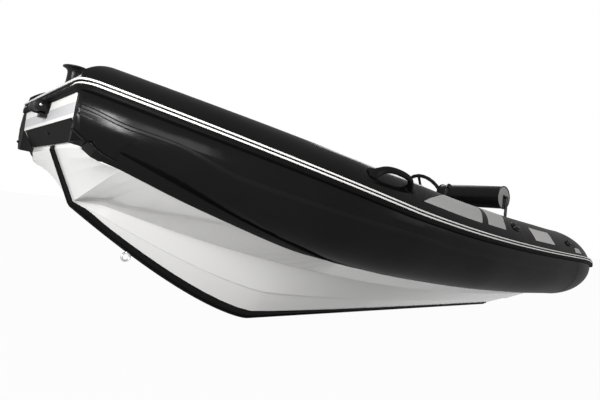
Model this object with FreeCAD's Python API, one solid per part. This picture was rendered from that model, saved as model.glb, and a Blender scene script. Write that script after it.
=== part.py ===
"""Rigid-hulled inflatable boat: one STEP file for each named piece.

Units are millimetres.  While the pieces are made, X runs forward from the transom,
Y to port and Z up from the keel's lowest line.  When they are written they move so
that the origin is amidships, on the centreline, at the waterline.
"""
import FreeCAD
import Part
import os
from math import atan2, cos, degrees, pi, radians, sin, sqrt

V = FreeCAD.Vector
X_AXIS, Y_AXIS, Z_AXIS = V(1, 0, 0), V(0, 1, 0), V(0, 0, 1)

# ---------------------------------------------------------------- where it is measured from
ORIGIN_X = 1500.0            # amidships, forward of the transom
WATERLINE_Z = 185.0          # floating level, above the keel
GAP = 0.5                    # between curved faces that lie on each other

# ---------------------------------------------------------------- buoyancy tubes
TUBE_RADIUS = 227.0
TUBE_HALF_SPACING = 644.0    # centreline of the boat to the middle of a tube, amidships
TOE_IN = 86.0                # how much nearer the tubes are at the transom
SHOULDER_X = 2028.0          # where the bow curve starts
BOW_X = 3178.0               # middle of the tube where it meets the nose
BOW_HALF_WIDTH = 299.0
BOW_HEADING = 35.0           # degrees inward at the nose
BOW_RADIUS = 190.0
TUBE_Z = 408.0               # middle of the tube at the transom
SHEER_SLOPE = 0.037
BOW_RISE = 269.0
BOW_RISE_POWER = 3.0
CONE_START_X = 125.0         # the stern cones start forward of the transom
CONE_END_X = -413.0
CONE_END_RADIUS = 142.0
CONE_DOME = 48.0
CONE_BULGE = 20.0            # how far the cone's side bows out of straight
NOSE_RUN = 70.0              # the tube's end shrinks over this length at the nose
NOSE_END_RADIUS = 158.0

# ---------------------------------------------------------------- nose between the tubes
NOSE_FRONT_X = 3246.0
NOSE_BACK_X = 3010.0
NOSE_TOP_Z = 905.0
NOSE_CORNER_Y = 418.0
NOSE_CHIN_X, NOSE_CHIN_Z = 3206.0, 699.0
NOSE_CORNER_Z = 768.0        # where the front face turns under
MITRE_ANGLE = 62.0           # degrees, heading of the plane between tube and nose
TUBE_FRONT_ANGLE = 6.0       # degrees, heading of the tube's trimmed front end
PANEL_THICK = 5.0
PANEL_TOP_Z = 852.0

# ---------------------------------------------------------------- rub rail
RAIL_HEIGHT = 66.0
RAIL_DEPTH = 20.0
RAIL_ANGLE_AFT = 13.5        # degrees above the tube's widest line
RAIL_ANGLE_BOW = 28.5
NOSE_RAIL_LOW_Z = 853.0

# ---------------------------------------------------------------- hull
KEEL_RISE_X = 2214.0         # the keel is straight aft of this
KNUCKLE_X, KNUCKLE_Z = 3107.0, 480.0
KEEL_POWER = 1.36
STEM_TOP_X, STEM_TOP_Z = 3212.0, 699.0
CHINE_Y, CHINE_Z = 385.0, 150.0
CHINE_END_X, CHINE_END_Y, CHINE_END_Z = 3025.0, 77.0, 492.0
CHINE_PLAN_POWER, CHINE_PLAN_ROOT, CHINE_RISE_POWER = 1.75, 0.53, 2.7
CHINE_FLAT = 26.0
CHINE_LEAST_Y = 22.0         # it fades out under the keel guard at the stem
SPRAY_SHARE = 0.55           # of the way from keel to chine
SPRAY_STEP = 9.0
JOINT_ANGLE_AFT = -119.5     # degrees round the tube, where hull and tube meet
JOINT_ANGLE_BOW = -31.0
JOINT_LEAVES_X = 3125.0      # from here to the nose the hull's edge runs in to the chin
CHIN_HALF_WIDTH = 336.0
HULL_SKIN = 14.0             # hull side that covers the tube's flat underside at the bow
BOW_UNDER_SKIN = ((2100, -0.8), (2400, 0.2), (2650, 0.8), (2850, 1), (3300, 1))   # x, share of the skin
BOW_UNDER_SLOPE = 5.0        # degrees, the tube's underside at the nose
BOW_UNDER_TANGENT = 4.0      # degrees steeper than the tube's own side, where it leaves the hull
BOW_UNDER_SETBACK, BOW_UNDER_RIM = 17.0, 1.5   # short of the hull's edge, and past it
BOW_UNDER_REACH, BOW_UNDER_DEPTH = 300.0, 400.0
HULL_STATIONS = (
    0, 350, 700, 1050, 1400, 1700, 1950, 2130, 2230, 2310, 2400, 2490, 2570, 2650, 2720, 2790, 2850, 2900,
    2940, 2980, 3020, 3060, 3107, 3155, 3184, 3203,
)
TUBE_AFT_SECTIONS, TUBE_BOW_SECTIONS = 6, 5
RAIL_AFT_SECTIONS = 8

# ---------------------------------------------------------------- cockpit
DECK_Z = 240.0
DECK_THICK = 20.0
LINER_WALL = 35.0            # hull side left outside the deck's edge
LINER_ANGLE = -150.0         # degrees round the tube, where the liner meets it
STEP_X = 2150.0              # aft face of the bow locker
STEP_Z = 560.0
PLATFORM_X = 2880.0          # aft edge of the bow platform
TRANSOM_THICK = 48.0
TRANSOM_TOP_Z = 530.0
TRANSOM_DIP_HALF = 250.0
MOTOR_PAD_THICK = 12.0
MOTOR_PAD_HALF = 200.0
MOTOR_PAD_HEIGHT = 280.0
MOTOR_BOLT_UPPER = 327.0     # spacing of the two upper bolts
MOTOR_BOLT_LOWER = 251.0
MOTOR_BOLT_DROP = 203.0
MOTOR_BOLT_TOP_Z = TRANSOM_TOP_Z - 50.0
MOTOR_BOLT_RADIUS = 6.75

# ---------------------------------------------------------------- bow locker, platform and fittings
LOCKER_X0, LOCKER_X1 = 2240.0, 2640.0
LOCKER_HALF = 170.0
LOCKER_DEPTH = 150.0
LID_OVERHANG = 25.0
LID_THICK = 28.0
LID_GAP = 2.0
LID_CUSHION_INSET, LID_CUSHION_THICK, LID_CUSHION_CORNER = 6.0, 45.0, 30.0
HINGE_RADIUS, HINGE_HALF_LENGTH, HINGE_Y = 7.0, 30.0, 120.0
HINGE_LEAF_REACH, HINGE_LEAF_THICK = 34.0, 4.0
PLATFORM_THICK = 30.0        # above the nose
PLATFORM_DEPTH = 140.0       # its aft riser, below the nose's top
PLATFORM_EDGE_RUN, PLATFORM_EDGE_DROP = 12.0, 8.0   # eased front edge
BITT_X = 3180.0
BITT_CAP_RADIUS, BITT_CAP_THICK = 45.0, 22.0
BITT_STEM_RADIUS, BITT_HEIGHT = 26.0, 88.0
BITT_BASE_RADIUS, BITT_BASE_THICK = 34.0, 8.0
BITT_BASE_MARGIN = 2.0       # flat crown left round the bitt's base
PANEL_LEAN = 2.0             # how far the panel leans back behind the roller's plate
BACK_PLATE_RADIUS, BACK_PLATE_THICK, BACK_PLATE_DROP = 76.0, 3.5, 50.0
ROLLER_RADIUS, ROLLER_HALF = 20.0, 38.0
ROLLER_BACK_GAP = 5.5        # behind the roller
ROLLER_DROP = 16.0           # its middle below the rail's lower edge
BACK_PLATE_X = NOSE_FRONT_X + PANEL_THICK - PANEL_LEAN
ROLLER_X = BACK_PLATE_X + BACK_PLATE_THICK + ROLLER_BACK_GAP + ROLLER_RADIUS
ROLLER_Z = NOSE_RAIL_LOW_Z - ROLLER_DROP
ROLLER_PIN_RADIUS = 6.0
ROLLER_CHEEK_THICK = 8.0
CHEEK_GAP, CHEEK_OVERLAP = 2.0, 4.0
LIP_HALF, LIP_HEIGHT, LIP_REACH, LIP_GAP = 26.0, 16.0, 23.0, 6.0
ROLLER_GROOVE_OFFSET, ROLLER_GROOVE_RADIUS = 33.0, 40.0
ROLLER_RUN_CLEARANCE = 0.05
EYE_X = 2860.0
EYE_HOLE_RADIUS, EYE_RING = 13.0, 8.0

# ---------------------------------------------------------------- helm and seat
CONSOLE_X0, CONSOLE_X1 = 1000.0, 1300.0
CONSOLE_HALF = 170.0
CONSOLE_TOP_AFT_Z, CONSOLE_TOP_FORE_Z = 690.0, 800.0
WHEEL_X, WHEEL_Z = 905.0, 765.0
WHEEL_RADIUS, WHEEL_GRIP = 165.0, 13.0
WHEEL_TILT = 60.0            # degrees of the wheel's plane from level
WHEEL_HUB_RADIUS, WHEEL_HUB_THICK = 38.0, 34.0
WHEEL_SPOKE_WIDTH, WHEEL_SPOKE_THICK = 26.0, 6.0
WHEEL_SHAFT_RADIUS = 16.0
WHEEL_BEZEL_RADIUS, WHEEL_BEZEL_THICK = 42.0, 14.0
CONTROL_X0, CONTROL_Z0, CONTROL_SIDE, CONTROL_WIDTH = 1010.0, 580.0, 120.0, 55.0
CONTROL_HUB_RISE, CONTROL_HUB_RADIUS = 70.0, 36.0
LEVER_X, LEVER_TOP_Z = 940.0, 842.0
LEVER_RADIUS, LEVER_KNOB_RADIUS, LEVER_KNOB_HALF = 8.0, 16.0, 15.0
SEAT_X0, SEAT_X1 = 260.0, 640.0
SEAT_HALF = 250.0
SEAT_TOP_Z = 540.0
SEAT_WALL = 22.0
CUSHION_THICK, CUSHION_CORNER = 70.0, 40.0
CUSHION_SETBACK, CUSHION_OVERHANG = 70.0, 10.0
HATCH_THICK = 18.0
HATCH_HALF = 170.0
HATCH_Z0, HATCH_Z1 = 300.0, 500.0
HATCH_GAP = 5.0              # round the door, inside its frame
HATCH_AXIS_X, HATCH_AXIS_Z = SEAT_X1 + 9.0, HATCH_Z0 - 4.0
HATCH_PIN_RADIUS = 6.0
HATCH_KNUCKLE_HALF, HATCH_KNUCKLE_GAP, HATCH_KNUCKLE_LENGTH = 60.0, 2.0, 50.0
HATCH_LEAF_THICK, HATCH_STRAP_HEIGHT = 3.0, 40.0
BOLSTER_X, BOLSTER_Z = 306.0, 845.0
BOLSTER_RADIUS, BOLSTER_HALF = 88.0, 290.0
ARM_Y = 308.0
ARM_RADIUS = 11.0
ARM_PIVOT_Z = 470.0
ARM_BOSS_RADIUS, ARM_BOSS_HALF = 24.0, 11.0
ARM_STUB_PAST = 8.0
PIVOT_PLAY = 1.0
PIVOT_PIN_RADIUS, PIVOT_RUN_CLEARANCE = 8.0, 0.05
PIVOT_HEAD_RADIUS, PIVOT_HEAD_THICK, PIVOT_SPACER_RADIUS = 13.0, 6.0, 30.0

# ---------------------------------------------------------------- fittings on the tubes and transom
HANDLE_X, HANDLE_ANGLE, HANDLE_LENGTH = 2140.0, 44.0, 230.0
HANDLE_RADIUS, HANDLE_RISE, HANDLE_BEND = 14.0, 46.0, 40.0
HANDLE_PAD_RADIUS, HANDLE_PAD_THICK = 42.0, 9.0
VALVES = (                   # x, angle, radius
    (1040.0, 44.0, 34.0),
    (234.0, 39.0, 26.0),
)
VALVE_THICK = 16.0
FLAP_WIDTH, FLAP_THICK = 52.0, 5.0
FLAP_LIFT = 1.2              # its inner face stands this far off the tube
FLAP_OFFSET_ANGLE = 2.5      # degrees round the tube from the hull's edge
GUARD_HALF_WIDTH, GUARD_THICK = 27.0, 7.0
TOW_EYE_Y, TOW_EYE_Z = 300.0, 330.0
TOW_EYE_HOLE, TOW_EYE_RING, TOW_EYE_THICK = 12.0, 7.0, 10.0
TOW_PLATE_HALF, TOW_PLATE_THICK = 24.0, 6.0
DRAIN_RADIUS, DRAIN_THICK, DRAIN_Z = 22.0, 12.0, 200.0


# ================================================================ curves of the boat
def lerp(a, b, t):
    return a + (b - a) * t


def tube_point(s):
    """Middle of the port tube: s is x up to the shoulder, then SHOULDER_X + 0..1000 round the bow."""
    if s <= SHOULDER_X:
        x = s
        y = TUBE_HALF_SPACING - TOE_IN * ((SHOULDER_X - s) / SHOULDER_X) ** 2
    else:
        t = (s - SHOULDER_X) / 1000.0
        run = BOW_X - SHOULDER_X
        heading = radians(BOW_HEADING)
        ctrl = (
            (SHOULDER_X, TUBE_HALF_SPACING),
            (SHOULDER_X + 0.4 * run, TUBE_HALF_SPACING),
            (BOW_X - 0.35 * run * cos(heading), BOW_HALF_WIDTH + 0.35 * run * sin(heading)),
            (BOW_X, BOW_HALF_WIDTH),
        )
        weights = ((1 - t) ** 3, 3 * t * (1 - t) ** 2, 3 * t * t * (1 - t), t ** 3)
        x = sum(w * c[0] for w, c in zip(weights, ctrl))
        y = sum(w * c[1] for w, c in zip(weights, ctrl))
    rise = BOW_RISE * max(0.0, x / BOW_X) ** BOW_RISE_POWER
    return V(x, y, TUBE_Z + SHEER_SLOPE * x + rise)


def bow_share(x):
    """0 at the shoulder, 1 where the tube meets the nose."""
    return min(1.0, max(0.0, (x - SHOULDER_X) / (BOW_X - SHOULDER_X)))


def tube_radius(x):
    if x >= CONE_START_X:
        return lerp(TUBE_RADIUS, BOW_RADIUS, bow_share(x))
    t = (CONE_START_X - x) / (CONE_START_X - CONE_END_X)
    return lerp(TUBE_RADIUS, CONE_END_RADIUS, t) + 4 * CONE_BULGE * t * (1 - t)


def tube_frame(s):
    """Point, outward, up and forward directions of the port tube at s."""
    forward = (tube_point(s + 5) - tube_point(s - 5)).normalize()
    outward = forward.cross(Z_AXIS)
    outward = V(-outward.x, -outward.y, 0).normalize()
    up = forward.cross(outward).normalize()
    return tube_point(s), outward, up, forward


def s_at(x):
    """Tube parameter whose point has the given x."""
    low, high = CONE_END_X - 100, SHOULDER_X + 1000
    for _ in range(40):
        mid = (low + high) / 2
        if tube_point(mid).x < x:
            low = mid
        else:
            high = mid
    return low


def on_tube(s, angle, lift=0.0):
    """Point at an angle round the port tube (0 outward, 90 top), lift above its surface."""
    centre, outward, up, _ = tube_frame(s)
    a = radians(angle)
    return centre + (outward * cos(a) + up * sin(a)) * (tube_radius(centre.x) + lift)


def joint_point(s):
    share = bow_share(tube_point(s).x)
    return on_tube(s, lerp(JOINT_ANGLE_AFT, JOINT_ANGLE_BOW, share))


def joint_at(x):
    """Hull edge under the tube at a station, as (y, z)."""
    if x > JOINT_LEAVES_X:
        y0, z0 = joint_at(JOINT_LEAVES_X)
        share = min(1.0, (x - JOINT_LEAVES_X) / (NOSE_CHIN_X - JOINT_LEAVES_X))
        inward = 1.0 - sqrt(1.0 - share ** 2)
        return lerp(y0, CHIN_HALF_WIDTH, inward), lerp(z0, NOSE_CHIN_Z - 2.0, inward)
    low, high = -200.0, SHOULDER_X + 1000
    for _ in range(40):
        mid = (low + high) / 2
        if joint_point(mid).x < x:
            low = mid
        else:
            high = mid
    p = joint_point(low)
    return p.y, p.z


def keel_z(x):
    if x <= KEEL_RISE_X:
        return 0.0
    if x <= KNUCKLE_X:
        return KNUCKLE_Z * ((x - KEEL_RISE_X) / (KNUCKLE_X - KEEL_RISE_X)) ** KEEL_POWER
    return lerp(KNUCKLE_Z, STEM_TOP_Z, (x - KNUCKLE_X) / (STEM_TOP_X - KNUCKLE_X))


def chine_at(x):
    if x <= CHINE_END_X:
        share = x / CHINE_END_X
        y = CHINE_END_Y + (CHINE_Y - CHINE_END_Y) * (1 - share ** CHINE_PLAN_POWER) ** CHINE_PLAN_ROOT
        z = CHINE_Z + (CHINE_END_Z - CHINE_Z) * share ** CHINE_RISE_POWER
        return y, z
    fade = (STEM_TOP_X - x) / (STEM_TOP_X - CHINE_END_X)
    y = max(CHINE_END_Y * fade, CHINE_LEAST_Y)
    share = y / joint_at(x)[0]
    return y, max(CHINE_END_Z, lerp(keel_z(x), joint_at(x)[1], share) + 3.0)


def hull_half_section(x):
    """Port outline from keel to the top of the hull, as (y, z)."""
    zk = keel_z(x)
    yc, zc = chine_at(x)
    yj, zj = joint_at(x)
    flat = CHINE_FLAT * max(0.2, min(1.0, yc / 200.0))
    inner = (yc - flat, max(zc - 1.0, zk + 1.0))
    step = SPRAY_STEP * max(0.2, min(1.0, yc / 300.0))
    spray_y, spray_z = SPRAY_SHARE * inner[0], lerp(zk, inner[1], SPRAY_SHARE)
    top = max(tube_point(s_at(min(x, BOW_X))).z, NOSE_TOP_Z - 130.0 if x > PLATFORM_X else 0.0)
    tube_y = tube_point(s_at(min(x, BOW_X))).y
    return [
        (0.0, zk),
        (spray_y - step * 2, spray_z - step * 2 * (inner[1] - zk) / max(inner[0], 1.0)),
        (spray_y, spray_z - step * 2 * (inner[1] - zk) / max(inner[0], 1.0) + 0.5),
        inner,
        (yc, zc),
        (yj, zj),
        (max(tube_y, yj * 0.6), top),
    ]


def polygon(points):
    return Part.makePolygon(points + [points[0]])


def hull_y_at(x, z):
    """Half width of the hull at a station and height."""
    half = hull_half_section(x)
    for (y0, z0), (y1, z1) in zip(half, half[1:]):
        if min(z0, z1) <= z <= max(z0, z1) and abs(z1 - z0) > 1:
            return lerp(y0, y1, (z - z0) / (z1 - z0))
    return half[-1][0]


def liner_top(x):
    """Where the cockpit liner meets the inside of the tube, as (y, z)."""
    p = on_tube(s_at(x), LINER_ANGLE)
    return p.y, p.z


def deck_half_width(x):
    return min(hull_y_at(x, DECK_Z - DECK_THICK) - LINER_WALL, liner_top(x)[0] - 10)


def station_wire(x):
    half = hull_half_section(x)
    ring = [V(x, y, z) for y, z in half] + [V(x, -y, z) for y, z in reversed(half[1:])]
    return polygon(ring)


def make_hull_blank():
    return Part.makeLoft([station_wire(float(x)) for x in HULL_STATIONS], True, True)


# ================================================================ helpers
def box(x0, x1, y0, y1, z0, z1):
    return Part.makeBox(x1 - x0, y1 - y0, z1 - z0, V(x0, y0, z0))


def cylinder(radius, start, end):
    axis = end - start
    return Part.makeCylinder(radius, axis.Length, start, axis)


def prism_y(points, half):
    """Closed outline given as (x, z), pushed from -half to +half across the boat."""
    face = Part.Face(polygon([V(x, -half, z) for x, z in points]))
    return face.extrude(V(0, 2 * half, 0))


def rounded_pad(block, radius):
    """A block with its four upright edges rounded."""
    upright = [e for e in block.Edges if abs(e.tangentAt(e.FirstParameter).z) > 0.9]
    return block.makeFillet(radius, upright)


def mirrored(shape):
    return shape.mirror(V(0, 0, 0), Y_AXIS)


def both_sides(shape):
    return Part.makeCompound([shape, mirrored(shape)])


def circle_on_tube(s, radius, centre=None):
    """Circle square to the port tube at s, its seam on the outward side."""
    point, outward, up, forward = tube_frame(s)
    wire = Part.Wire([Part.makeCircle(radius)])
    wire.Placement = FreeCAD.Placement(centre or point, FreeCAD.Rotation(outward, up, forward, "ZXY"))
    return wire


def rounded_tube(points, radius, bend):
    """Round bar through points, with arcs of the bend radius at the corners."""
    edges, start = [], points[0]
    for before, corner, after in zip(points, points[1:], points[2:]):
        a, b = (before - corner).normalize(), (after - corner).normalize()
        half = a.getAngle(b) / 2
        back = bend * cos(half) / sin(half)
        first, last = corner + a * back, corner + b * back
        toward = (a + b).normalize()
        middle = corner + toward * (bend / sin(half) - bend)
        edges.append(Part.LineSegment(start, first).toShape())
        edges.append(Part.Arc(first, middle, last).toShape())
        start = last
    edges.append(Part.LineSegment(start, points[-1]).toShape())
    path = Part.Wire(edges)
    direction = (points[1] - points[0]).normalize()
    profile = Part.Wire([Part.makeCircle(radius, points[0], direction)])
    return path.makePipeShell([profile], True, False)


# ================================================================ tubes and nose
def space_ahead(corner, heading):
    """Everything ahead of an upright plane through corner; heading is its normal's, to starboard."""
    normal = V(cos(radians(heading)), -sin(radians(heading)), 0)
    along = V(normal.y, -normal.x, 0)
    half, low, high, depth = 900, 300, 1300, 1500
    face = Part.Face(polygon([
        corner + along * half + V(0, 0, low),
        corner - along * half + V(0, 0, low),
        corner - along * half + V(0, 0, high),
        corner + along * half + V(0, 0, high),
    ]))
    return face.extrude(normal * depth)


def mitre_tool(side_gap):
    """Everything inboard and ahead of the mitre plane between port tube and nose."""
    heading = radians(MITRE_ANGLE)
    corner = V(NOSE_FRONT_X, NOSE_CORNER_Y + 2.0, 0)
    return space_ahead(corner + V(cos(heading), -sin(heading), 0) * side_gap, MITRE_ANGLE)


def tube_front_tool(side_gap):
    """Everything ahead of the tube's front end, which stands level with the nose."""
    return space_ahead(V(NOSE_FRONT_X + side_gap, NOSE_CORNER_Y - 4.0, 0), TUBE_FRONT_ANGLE)


def bow_skin_share(x):
    """Share of the hull side's thickness left over the tube's flat underside."""
    for (x0, a), (x1, b) in zip(BOW_UNDER_SKIN, BOW_UNDER_SKIN[1:]):
        if x <= x1:
            return lerp(a, b, (x - x0) / (x1 - x0))
    return 1.0


def bow_underside(skin, edge_gap):
    """Space under the tube at the bow, up to a face a skin's thickness inside the hull's side."""
    wires = []
    first, last = BOW_UNDER_SKIN[0][0], BOW_UNDER_SKIN[-1][0]
    for x in [first] + [x for x in HULL_STATIONS if x > first] + [last]:
        skin_share = bow_skin_share(x)
        station = min(x, HULL_STATIONS[-1])
        (yc, zc), (yj, zj) = chine_at(station), joint_at(station)
        along = V(0, yj - yc, zj - zc).normalize()
        up = V(0, -along.z, along.y)
        leave = max(0.0, (station - JOINT_LEAVES_X) / (NOSE_CHIN_X - JOINT_LEAVES_X))
        tangent = 90 + lerp(JOINT_ANGLE_AFT, JOINT_ANGLE_BOW, bow_share(station)) + BOW_UNDER_TANGENT
        slope = radians(lerp(tangent, BOW_UNDER_SLOPE, leave ** 2))
        edge = V(0, cos(slope), sin(slope))
        outside = V(0, edge.z, -edge.y)
        chine, joint = V(x, yc, zc), V(x, yj, zj)
        lift = up * (skin * skin_share + edge_gap)
        rim = joint + outside * (BOW_UNDER_RIM - edge_gap)
        far = rim + edge * BOW_UNDER_REACH
        low = zc - BOW_UNDER_DEPTH
        wires.append(polygon([
            chine + lift, joint - along * BOW_UNDER_SETBACK + lift, rim, far,
            V(x, far.y, low), V(x, yc, low),
        ]))
    return Part.makeLoft(wires, True, True)


def tube_stations(start=CONE_START_X, end=1000.0, steps=TUBE_AFT_SECTIONS):
    """Evenly spaced values of s from start to the nose."""
    aft = [lerp(start, SHOULDER_X, k / steps) for k in range(steps + 1)]
    bow = [SHOULDER_X + end * (k + 1) / TUBE_BOW_SECTIONS for k in range(TUBE_BOW_SECTIONS)]
    return aft + bow


def smooth_loft(wires):
    return Part.makeLoft(wires, True, False, False, 3)


def make_port_tube(grow=0.0, extra_sections=0):
    """The tube from cone to nose; extra sections carry it on aft in one piece, to cut with."""
    pitch = (SHOULDER_X - CONE_START_X) / TUBE_AFT_SECTIONS
    sections = TUBE_AFT_SECTIONS + extra_sections
    stations = tube_stations(CONE_START_X - extra_sections * pitch, 1000.0, sections)
    wires = [circle_on_tube(s, tube_radius(tube_point(s).x) + grow) for s in stations]
    point, outward, up, forward = tube_frame(SHOULDER_X + 999)
    end = point + forward * NOSE_RUN * 2.2 - up * (BOW_RADIUS - NOSE_END_RADIUS)
    wires.append(circle_on_tube(SHOULDER_X + 999, NOSE_END_RADIUS + grow, end))
    return smooth_loft(wires).cut(mitre_tool(grow)).cut(tube_front_tool(grow))


def make_port_cone(grow=0.0):
    """Stern end of the tube: a cone with a shallow domed end, turned about its own middle line."""
    start, outward, up, forward = tube_frame(CONE_START_X)
    length = (tube_point(CONE_START_X) - tube_point(CONE_END_X)).Length
    big, small = TUBE_RADIUS + grow, CONE_END_RADIUS + grow
    middle = V(0, -length / 2, (small + big) / 2 + CONE_BULGE)
    outline = [
        Part.LineSegment(V(0, 0, 0), V(0, 0, big)).toShape(),
        Part.Arc(V(0, 0, big), middle, V(0, -length, small)).toShape(),
        Part.LineSegment(V(0, -length, small), V(0, -length, 0)).toShape(),
        Part.LineSegment(V(0, -length, 0), V(0, 0, 0)).toShape(),
    ]
    side = Part.Face(Part.Wire(outline)).revolve(V(0, 0, 0), Y_AXIS, 360)
    dome_radius = (CONE_END_RADIUS ** 2 + CONE_DOME ** 2) / (2 * CONE_DOME)
    ball = Part.makeSphere(dome_radius + grow, V(0, dome_radius - CONE_DOME - length, 0))
    behind = Part.makeCylinder(small, CONE_DOME + 20, V(0, -length, 0), V(0, -1, 0))
    turned = side.fuse(ball.common(behind))
    axis = (tube_point(CONE_START_X) - tube_point(CONE_END_X)).normalize()
    turned.Placement = FreeCAD.Placement(start, FreeCAD.Rotation(Y_AXIS, axis))
    return turned


def nose_outline(inset=0.0):
    """Side outline of the nose block, as (x, z)."""
    return [
        (NOSE_FRONT_X - inset, NOSE_TOP_Z - inset),
        (NOSE_FRONT_X - 6.0 - inset, NOSE_CORNER_Z),
        (NOSE_CHIN_X - inset, NOSE_CHIN_Z + inset),
        (NOSE_BACK_X + 20, NOSE_CHIN_Z + inset),
        (NOSE_BACK_X, NOSE_TOP_Z - inset),
    ]


def make_nose_tube():
    block = prism_y(nose_outline(), NOSE_CORNER_Y + 60)
    keep = mitre_tool(GAP)
    return block.common(keep).common(mirrored(keep))


def make_nose_panel():
    """Thin white facing on the front of the nose."""
    x = NOSE_FRONT_X - 6.0
    outline = [(x, NOSE_CORNER_Z), (x + 6.0, NOSE_TOP_Z), (x + 6.0 + PANEL_THICK, NOSE_TOP_Z),
               (x + PANEL_THICK, NOSE_CORNER_Z)]
    top = NOSE_FRONT_X + 60
    facing = prism_y(outline, NOSE_CORNER_Y - 6)
    return facing.cut(box(x - 60, top, -900, 900, PANEL_TOP_Z, NOSE_TOP_Z + 50))


def make_nose_apron():
    """Black band that closes the nose down onto the hull's top edge."""
    x = NOSE_FRONT_X - 6.0
    outline = [(x, NOSE_CORNER_Z - 1), (x + PANEL_THICK, NOSE_CORNER_Z - 1),
               (NOSE_CHIN_X + PANEL_THICK + 1, NOSE_CHIN_Z), (NOSE_CHIN_X, NOSE_CHIN_Z)]
    return prism_y(outline, NOSE_CORNER_Y - 40)


def make_rail():
    """Rub rail round both tubes and the nose."""
    wires = []
    for s in tube_stations(CONE_END_X + 30, 985.0, RAIL_AFT_SECTIONS):
        centre, outward, up, _ = tube_frame(s)
        share = bow_share(centre.x)
        a = radians(lerp(RAIL_ANGLE_AFT, RAIL_ANGLE_BOW, share))
        radial = outward * cos(a) + up * sin(a)
        tangent = up * cos(a) - outward * sin(a)
        radius = tube_radius(centre.x)
        half = RAIL_HEIGHT / 2
        inner, outer = radius - 12, radius + RAIL_DEPTH
        wires.append(polygon([
            centre + radial * inner - tangent * half,
            centre + radial * outer - tangent * half * 0.8,
            centre + radial * outer + tangent * half * 0.8,
            centre + radial * inner + tangent * half,
        ]))
    return smooth_loft(wires)


def make_nose_rail():
    """Rub rail across the nose."""
    x, low, top = NOSE_FRONT_X, NOSE_RAIL_LOW_Z, NOSE_TOP_Z
    outline = [(x + GAP, low), (x + RAIL_DEPTH - 4, low + 4), (x + RAIL_DEPTH, top - 4),
               (x + 4, top + 4), (x + GAP, top)]
    return prism_y(outline, NOSE_CORNER_Y - 10)


def make_hull(blank, side_space):
    hull = blank.cut(side_space).cut(mirrored(side_space))
    nose_space = prism_y(nose_outline(-GAP), 700)
    hull = hull.cut(nose_space)
    cockpit = make_cockpit_space()
    step = box(STEP_X - 1, PLATFORM_X, -900, 900, STEP_Z, 1500)
    locker = box(LOCKER_X0, LOCKER_X1, -LOCKER_HALF, LOCKER_HALF, STEP_Z - LOCKER_DEPTH, STEP_Z + 10)
    platform = box(PLATFORM_X - 1, NOSE_BACK_X + 400, -900, 900, NOSE_TOP_Z - PLATFORM_DEPTH, 1500)
    for tool in (cockpit, step, locker, platform):
        hull = hull.cut(tool)
    return max(hull.Solids, key=lambda one: one.Volume)


def cockpit_stations():
    inside = [float(x) for x in HULL_STATIONS if 0 < x < STEP_X]
    return [-10.0] + inside + [STEP_X]


def make_cockpit_space():
    """Room above the deck, with sides that slope out to meet the tubes."""
    wires = []
    for x in cockpit_stations():
        y, (side_y, side_z) = deck_half_width(max(x, 0.0)), liner_top(x)
        half = [(y, DECK_Z - DECK_THICK), (y, DECK_Z), (side_y, side_z), (tube_point(s_at(x)).y, 1500.0)]
        wires.append(polygon([V(x, a, z) for a, z in half] + [V(x, -a, z) for a, z in reversed(half)]))
    return Part.makeLoft(wires, True, True)


def make_deck():
    """Flat cockpit floor, let into the hull."""
    wires = []
    for x in [TRANSOM_THICK] + cockpit_stations()[1:]:
        y = deck_half_width(x)
        low, high = DECK_Z - DECK_THICK, DECK_Z
        wires.append(polygon([V(x, y, low), V(x, y, high), V(x, -y, high), V(x, -y, low)]))
    return Part.makeLoft(wires, True, True)


def make_transom(tubes):
    half = TUBE_HALF_SPACING
    dip = TRANSOM_TOP_Z
    low = DECK_Z - DECK_THICK
    outline = [(-half, low), (half, low), (half, dip + 40), (TRANSOM_DIP_HALF + 60, dip + 40),
               (TRANSOM_DIP_HALF, dip), (-TRANSOM_DIP_HALF, dip), (-TRANSOM_DIP_HALF - 60, dip + 40),
               (-half, dip + 40)]
    face = Part.Face(polygon([V(0, y, z) for y, z in outline]))
    board = face.extrude(V(TRANSOM_THICK, 0, 0)).common(make_cockpit_space())
    for solid in tubes:
        board = board.cut(solid)
    for tool in motor_bolt_holes():
        board = board.cut(tool)
    return board


def motor_bolt_holes():
    """Tools for the motor's four bolts, right through transom and pads."""
    start, end = -50.0, TRANSOM_THICK + 50.0
    rows = (
        (MOTOR_BOLT_UPPER / 2, MOTOR_BOLT_TOP_Z),
        (MOTOR_BOLT_LOWER / 2, MOTOR_BOLT_TOP_Z - MOTOR_BOLT_DROP),
    )
    return [
        cylinder(MOTOR_BOLT_RADIUS, V(start, side * y, z), V(end, side * y, z))
        for y, z in rows for side in (-1, 1)
    ]


def make_motor_pads():
    """Plates on both faces of the transom that the motor's clamps and bolts bear on."""
    top, low = TRANSOM_TOP_Z - 4, TRANSOM_TOP_Z - MOTOR_PAD_HEIGHT
    outer = box(-MOTOR_PAD_THICK, 0, -MOTOR_PAD_HALF, MOTOR_PAD_HALF, low, top)
    inner = box(TRANSOM_THICK, TRANSOM_THICK + MOTOR_PAD_THICK, -MOTOR_PAD_HALF, MOTOR_PAD_HALF, low, top)
    pads = []
    for pad in (outer, inner):
        for tool in motor_bolt_holes():
            pad = pad.cut(tool)
        pads.append(pad)
    return Part.makeCompound(pads)


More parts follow.
